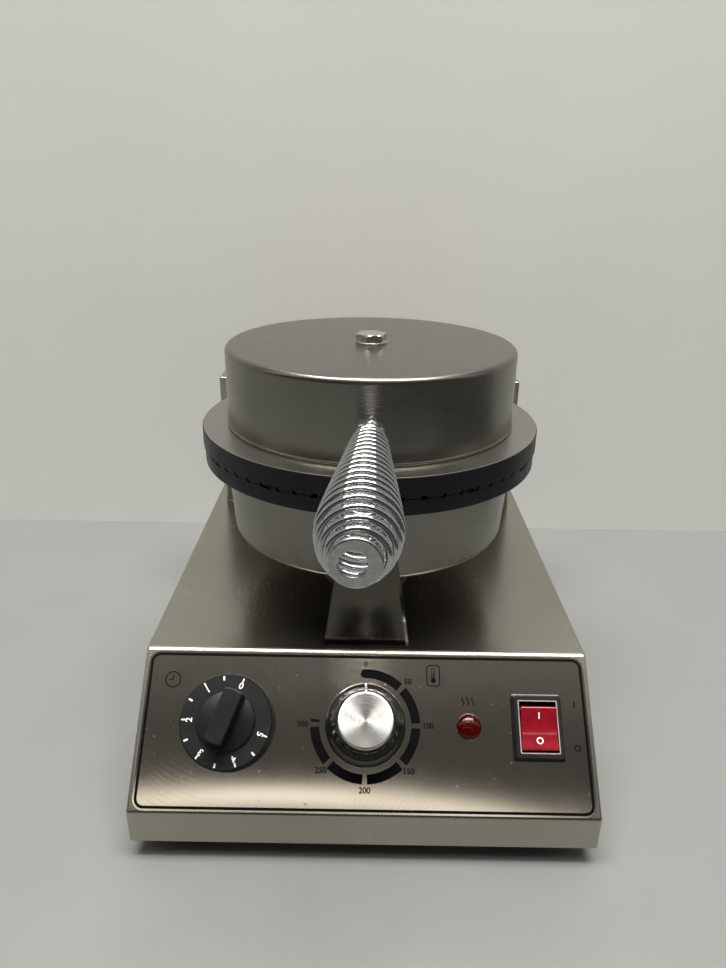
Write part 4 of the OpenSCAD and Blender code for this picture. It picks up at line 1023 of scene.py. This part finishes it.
def make_arms():
    """Hinge arms: the CAD outline with softened edges."""
    for node in ("left_hinge_arm", "right_hinge_arm"):
        arm = add_object(node + "_forged", NODES[node].data.copy())
        with editing(arm.data) as bm:
            bmesh.ops.remove_doubles(bm, verts=bm.verts, dist=1e-6)
            bmesh.ops.dissolve_limit(bm, angle_limit=math.radians(1), verts=bm.verts, edges=bm.edges)
        bevel(arm, 0.35 * MM, 2, 50)
        dress(smooth_by_angle(arm, 30), "steel", node)


def dress_cad_nodes():
    """Materials for the CAD nodes that stay as they are."""
    looks = {
        # The pan's pedestal and the bottom plate take the support's steel, with its painted shade.
        "bracket": ("bottom_plate", "pan_pedestal"),
        "zinc": ("foot_screws", "pedestal_screws", "bracket_screws", "arm_screws", "hinge_pin",
                 "handle_stud", "handle_inner_nut"),
        "pale": ("timer_body", "thermostat_body", "lamp_body", "terminal_block"),
        "steel": ("timer_shaft", "thermostat_shaft", "sensor_bulb", "lower_clamp_plate",
                  "upper_clamp_plate", "lower_centre_bolt", "left_hinge_bracket", "right_hinge_bracket"),
        "copper": ("capillary_tube",), "brass": ("terminal_screws", "hinge_washers"),
        "matte_black": ("gland_nut",), "element": ("lower_element", "upper_element", "pin_clips"),
        "fibre": ("lower_insulation", "upper_insulation"), "rubber": ("tower_grommet", "lid_grommet")}
    for key, nodes in looks.items():
        for node in nodes:
            materials = NODES[node].data.materials
            materials.clear()
            materials.append(MAT[key])


# ---------------------------------------------------------------- stage, light and camera

WALL_Y = LIP_Y + 0.392


def one_sided(mat):
    """Lets light and views through the back of a stage sheet."""
    g = Graph(mat.node_tree)
    mix = g.add("MixShader", {0: g.add("NewGeometry").outputs["Backfacing"], 1: g.shader.outputs[0],
                              2: g.add("BsdfTransparent").outputs[0]})
    g.to(g.tree.nodes["Material Output"].inputs["Surface"], mix.outputs[0])
    return mat


def stage_sheet(name, corners, mat):
    """A flat sheet of the stage; its front is where the corners turn anticlockwise."""
    mesh = bpy.data.meshes.new(name)
    mesh.from_pydata(corners, [], [tuple(range(len(corners)))])
    mesh.materials.append(mat)
    sheet = add_object(name, mesh)
    return sheet


def make_stage():
    size, wall_top = 3.0, 0.62
    stage_sheet("floor", [(-size, -size, 0), (size, -size, 0), (size, size, 0), (-size, size, 0)],
                plain("floor_grey", (0.205, 0.21, 0.205), 0.42, 0.0, 0.03, 5, 0.02))
    stage_sheet("backdrop", [(-size, WALL_Y, 0.0005), (size, WALL_Y, 0.0005), (size, WALL_Y, wall_top),
                             (-size, WALL_Y, wall_top)],
                one_sided(plain("wall_white", (0.84, 0.845, 0.825), 0.6, 0.0, 0.02, 4, 0.02)))
    # A dark card at the front right that only reflections see, as the room there is dark
    card = stage_sheet("dark_card", [(x, y, 0.001) for x, y in (
        (0.05, -1.5), (1.6, -1.5), (1.6, 0.2), (0.40, 0.2), (0.40, -0.45), (0.05, -0.55))],
        one_sided(plain("card_black", (0.03, 0.03, 0.027), 0.9, 0.0, 0.1, 5, 0.02)))
    card.visible_camera = card.visible_diffuse = card.visible_shadow = False


def area_light(name, place, target, size, size_y, power):
    light = bpy.data.lights.new(name, "AREA")
    light.energy = power
    light.color = (1.0, 0.985, 0.95)
    light.shape = "RECTANGLE"
    light.size, light.size_y = size, size_y
    aim = (Vector(target) - Vector(place)).to_track_quat("-Z", "Y")
    obj = add_object(name, light)
    obj.location = place
    obj.rotation_euler = aim.to_euler()


def make_lights():
    for k, (x, power) in enumerate(((-0.95, 5), (-0.1, 5.5), (0.16, 5.5), (1.0, 5))):
        area_light("tube_%d" % k, (x, 0.35, 2.1), (x, 0.35, 0), 0.16, 2.6, power)
    area_light("wall_wash", (0, -0.15, 2.6), (0, WALL_Y, 0.5), 2.4, 0.7, 112)


# Grey tone of the room by height: 0 is level in front of the object, 0.5 overhead, 1 level behind it
ROOM = [(0.0, 0.07), (0.2, 0.07), (0.265, 0.085), (0.285, 0.11), (0.31, 0.2), (0.36, 0.25),
        (0.385, 1.7), (0.425, 1.6), (0.46, 0.25), (1.0, 0.3)]


def make_room():
    """The world that reflections see, with a long ceiling lamp, and a plain tone seen directly."""
    world = bpy.data.worlds.new("room")
    bpy.context.scene.world = world
    world.use_nodes = True
    nodes = world.node_tree.nodes
    g = Graph(world.node_tree, "Generated")

    def step(value, start, end):
        """0 before start, 1 after end."""
        return g.math("DIVIDE", g.math("SUBTRACT", value, start), end - start, use_clamp=True)

    def strip(value, start, full, fall, end):
        """1 from full to fall, and 0 before start and after end."""
        return g.math("MULTIPLY", step(value, start, full), g.math("SUBTRACT", 1.0, step(value, fall, end)))
    x, y, z = g.add("SeparateXYZ", {0: g.coords}).outputs
    rise = g.math("DIVIDE", g.math("ARCTAN2", z, g.math("MULTIPLY", y, -1.0)), math.pi)
    ramp = g.add("ValToRGB", {0: rise})
    elements = ramp.color_ramp.elements
    elements[0].position, elements[1].position = ROOM[0][0], ROOM[-1][0]
    for place, _ in ROOM[1:-1]:
        elements.new(place)
    for element, (_, grey) in zip(elements, ROOM):
        element.color = (grey, 0.97 * grey, 0.9 * grey, 1)
    # A long ceiling lamp in front of the object, which the panel's lower edge reflects, and its haze
    side = g.math("ADD", x, 0.09)
    bow = g.math("MULTIPLY", g.math("MULTIPLY", side, side), 18.0)
    degrees = g.math("ADD", g.math("MULTIPLY", rise, 180.0), bow)
    haze = g.math("MULTIPLY", strip(degrees, 44.4, 45.4, 46.2, 46.6), 0.17)
    lamp = g.math("ADD", strip(degrees, 46.0, 46.4, 46.7, 47.5), haze)
    ends = g.math("SUBTRACT", 1.0, step(g.math("ABSOLUTE", side), 0.33, 0.5))
    glow = g.blend(g.math("MULTIPLY", lamp, ends), ramp.outputs[0], (3.2, 3.05, 2.7), clamp_factor=False)
    g.to(nodes["Background"].inputs["Color"], glow)
    # Seen directly, the room behind the object is a plain pale tone
    seen = g.add("Background", {"Color": (0.5, 0.5, 0.48, 1)})
    choose = g.add("MixShader", {0: g.add("LightPath").outputs["Is Camera Ray"],
                                 1: nodes["Background"].outputs[0], 2: seen.outputs[0]})
    g.to(nodes["World Output"].inputs["Surface"], choose.outputs[0])


def make_camera():
    """Camera in front of the object and slightly above it, rolled a little."""
    pitch, yaw, roll = math.radians(22.80), math.radians(-0.068), math.radians(0.93)
    forward = Vector((math.sin(yaw) * math.cos(pitch), math.cos(yaw) * math.cos(pitch),
                      -math.sin(pitch)))
    level = Vector((math.cos(yaw), -math.sin(yaw), 0))
    upright = level.cross(forward)
    right = level * math.cos(roll) + upright * math.sin(roll)
    up = upright * math.cos(roll) - level * math.sin(roll)
    cam = bpy.data.cameras.new("camera")
    cam.lens = 27.2
    cam.sensor_width = 36
    cam.clip_start = 0.01
    place = shift(-2.9 * MM, LIP_Y - 273.7 * MM, 326.0 * MM)
    axes = Matrix((right, up, -forward)).transposed().to_4x4()
    bpy.context.scene.camera = add_object("camera", cam, place @ axes)


make_camera()
make_materials()
make_stage()
make_lights()
make_room()
make_base()
make_panel()
make_print()
make_icons()
make_timer_knob()
make_thermostat_knob()
make_lamp()
make_switch()
make_support()
make_lower_shell()
make_upper_shell()
make_plates()
make_centre_bolt()
make_coil()
make_handle_ends()
make_tower()
make_screws()
make_gland()
make_feet()
make_arms()
dress_cad_nodes()

bpy.context.scene.view_settings.view_transform = "Standard"
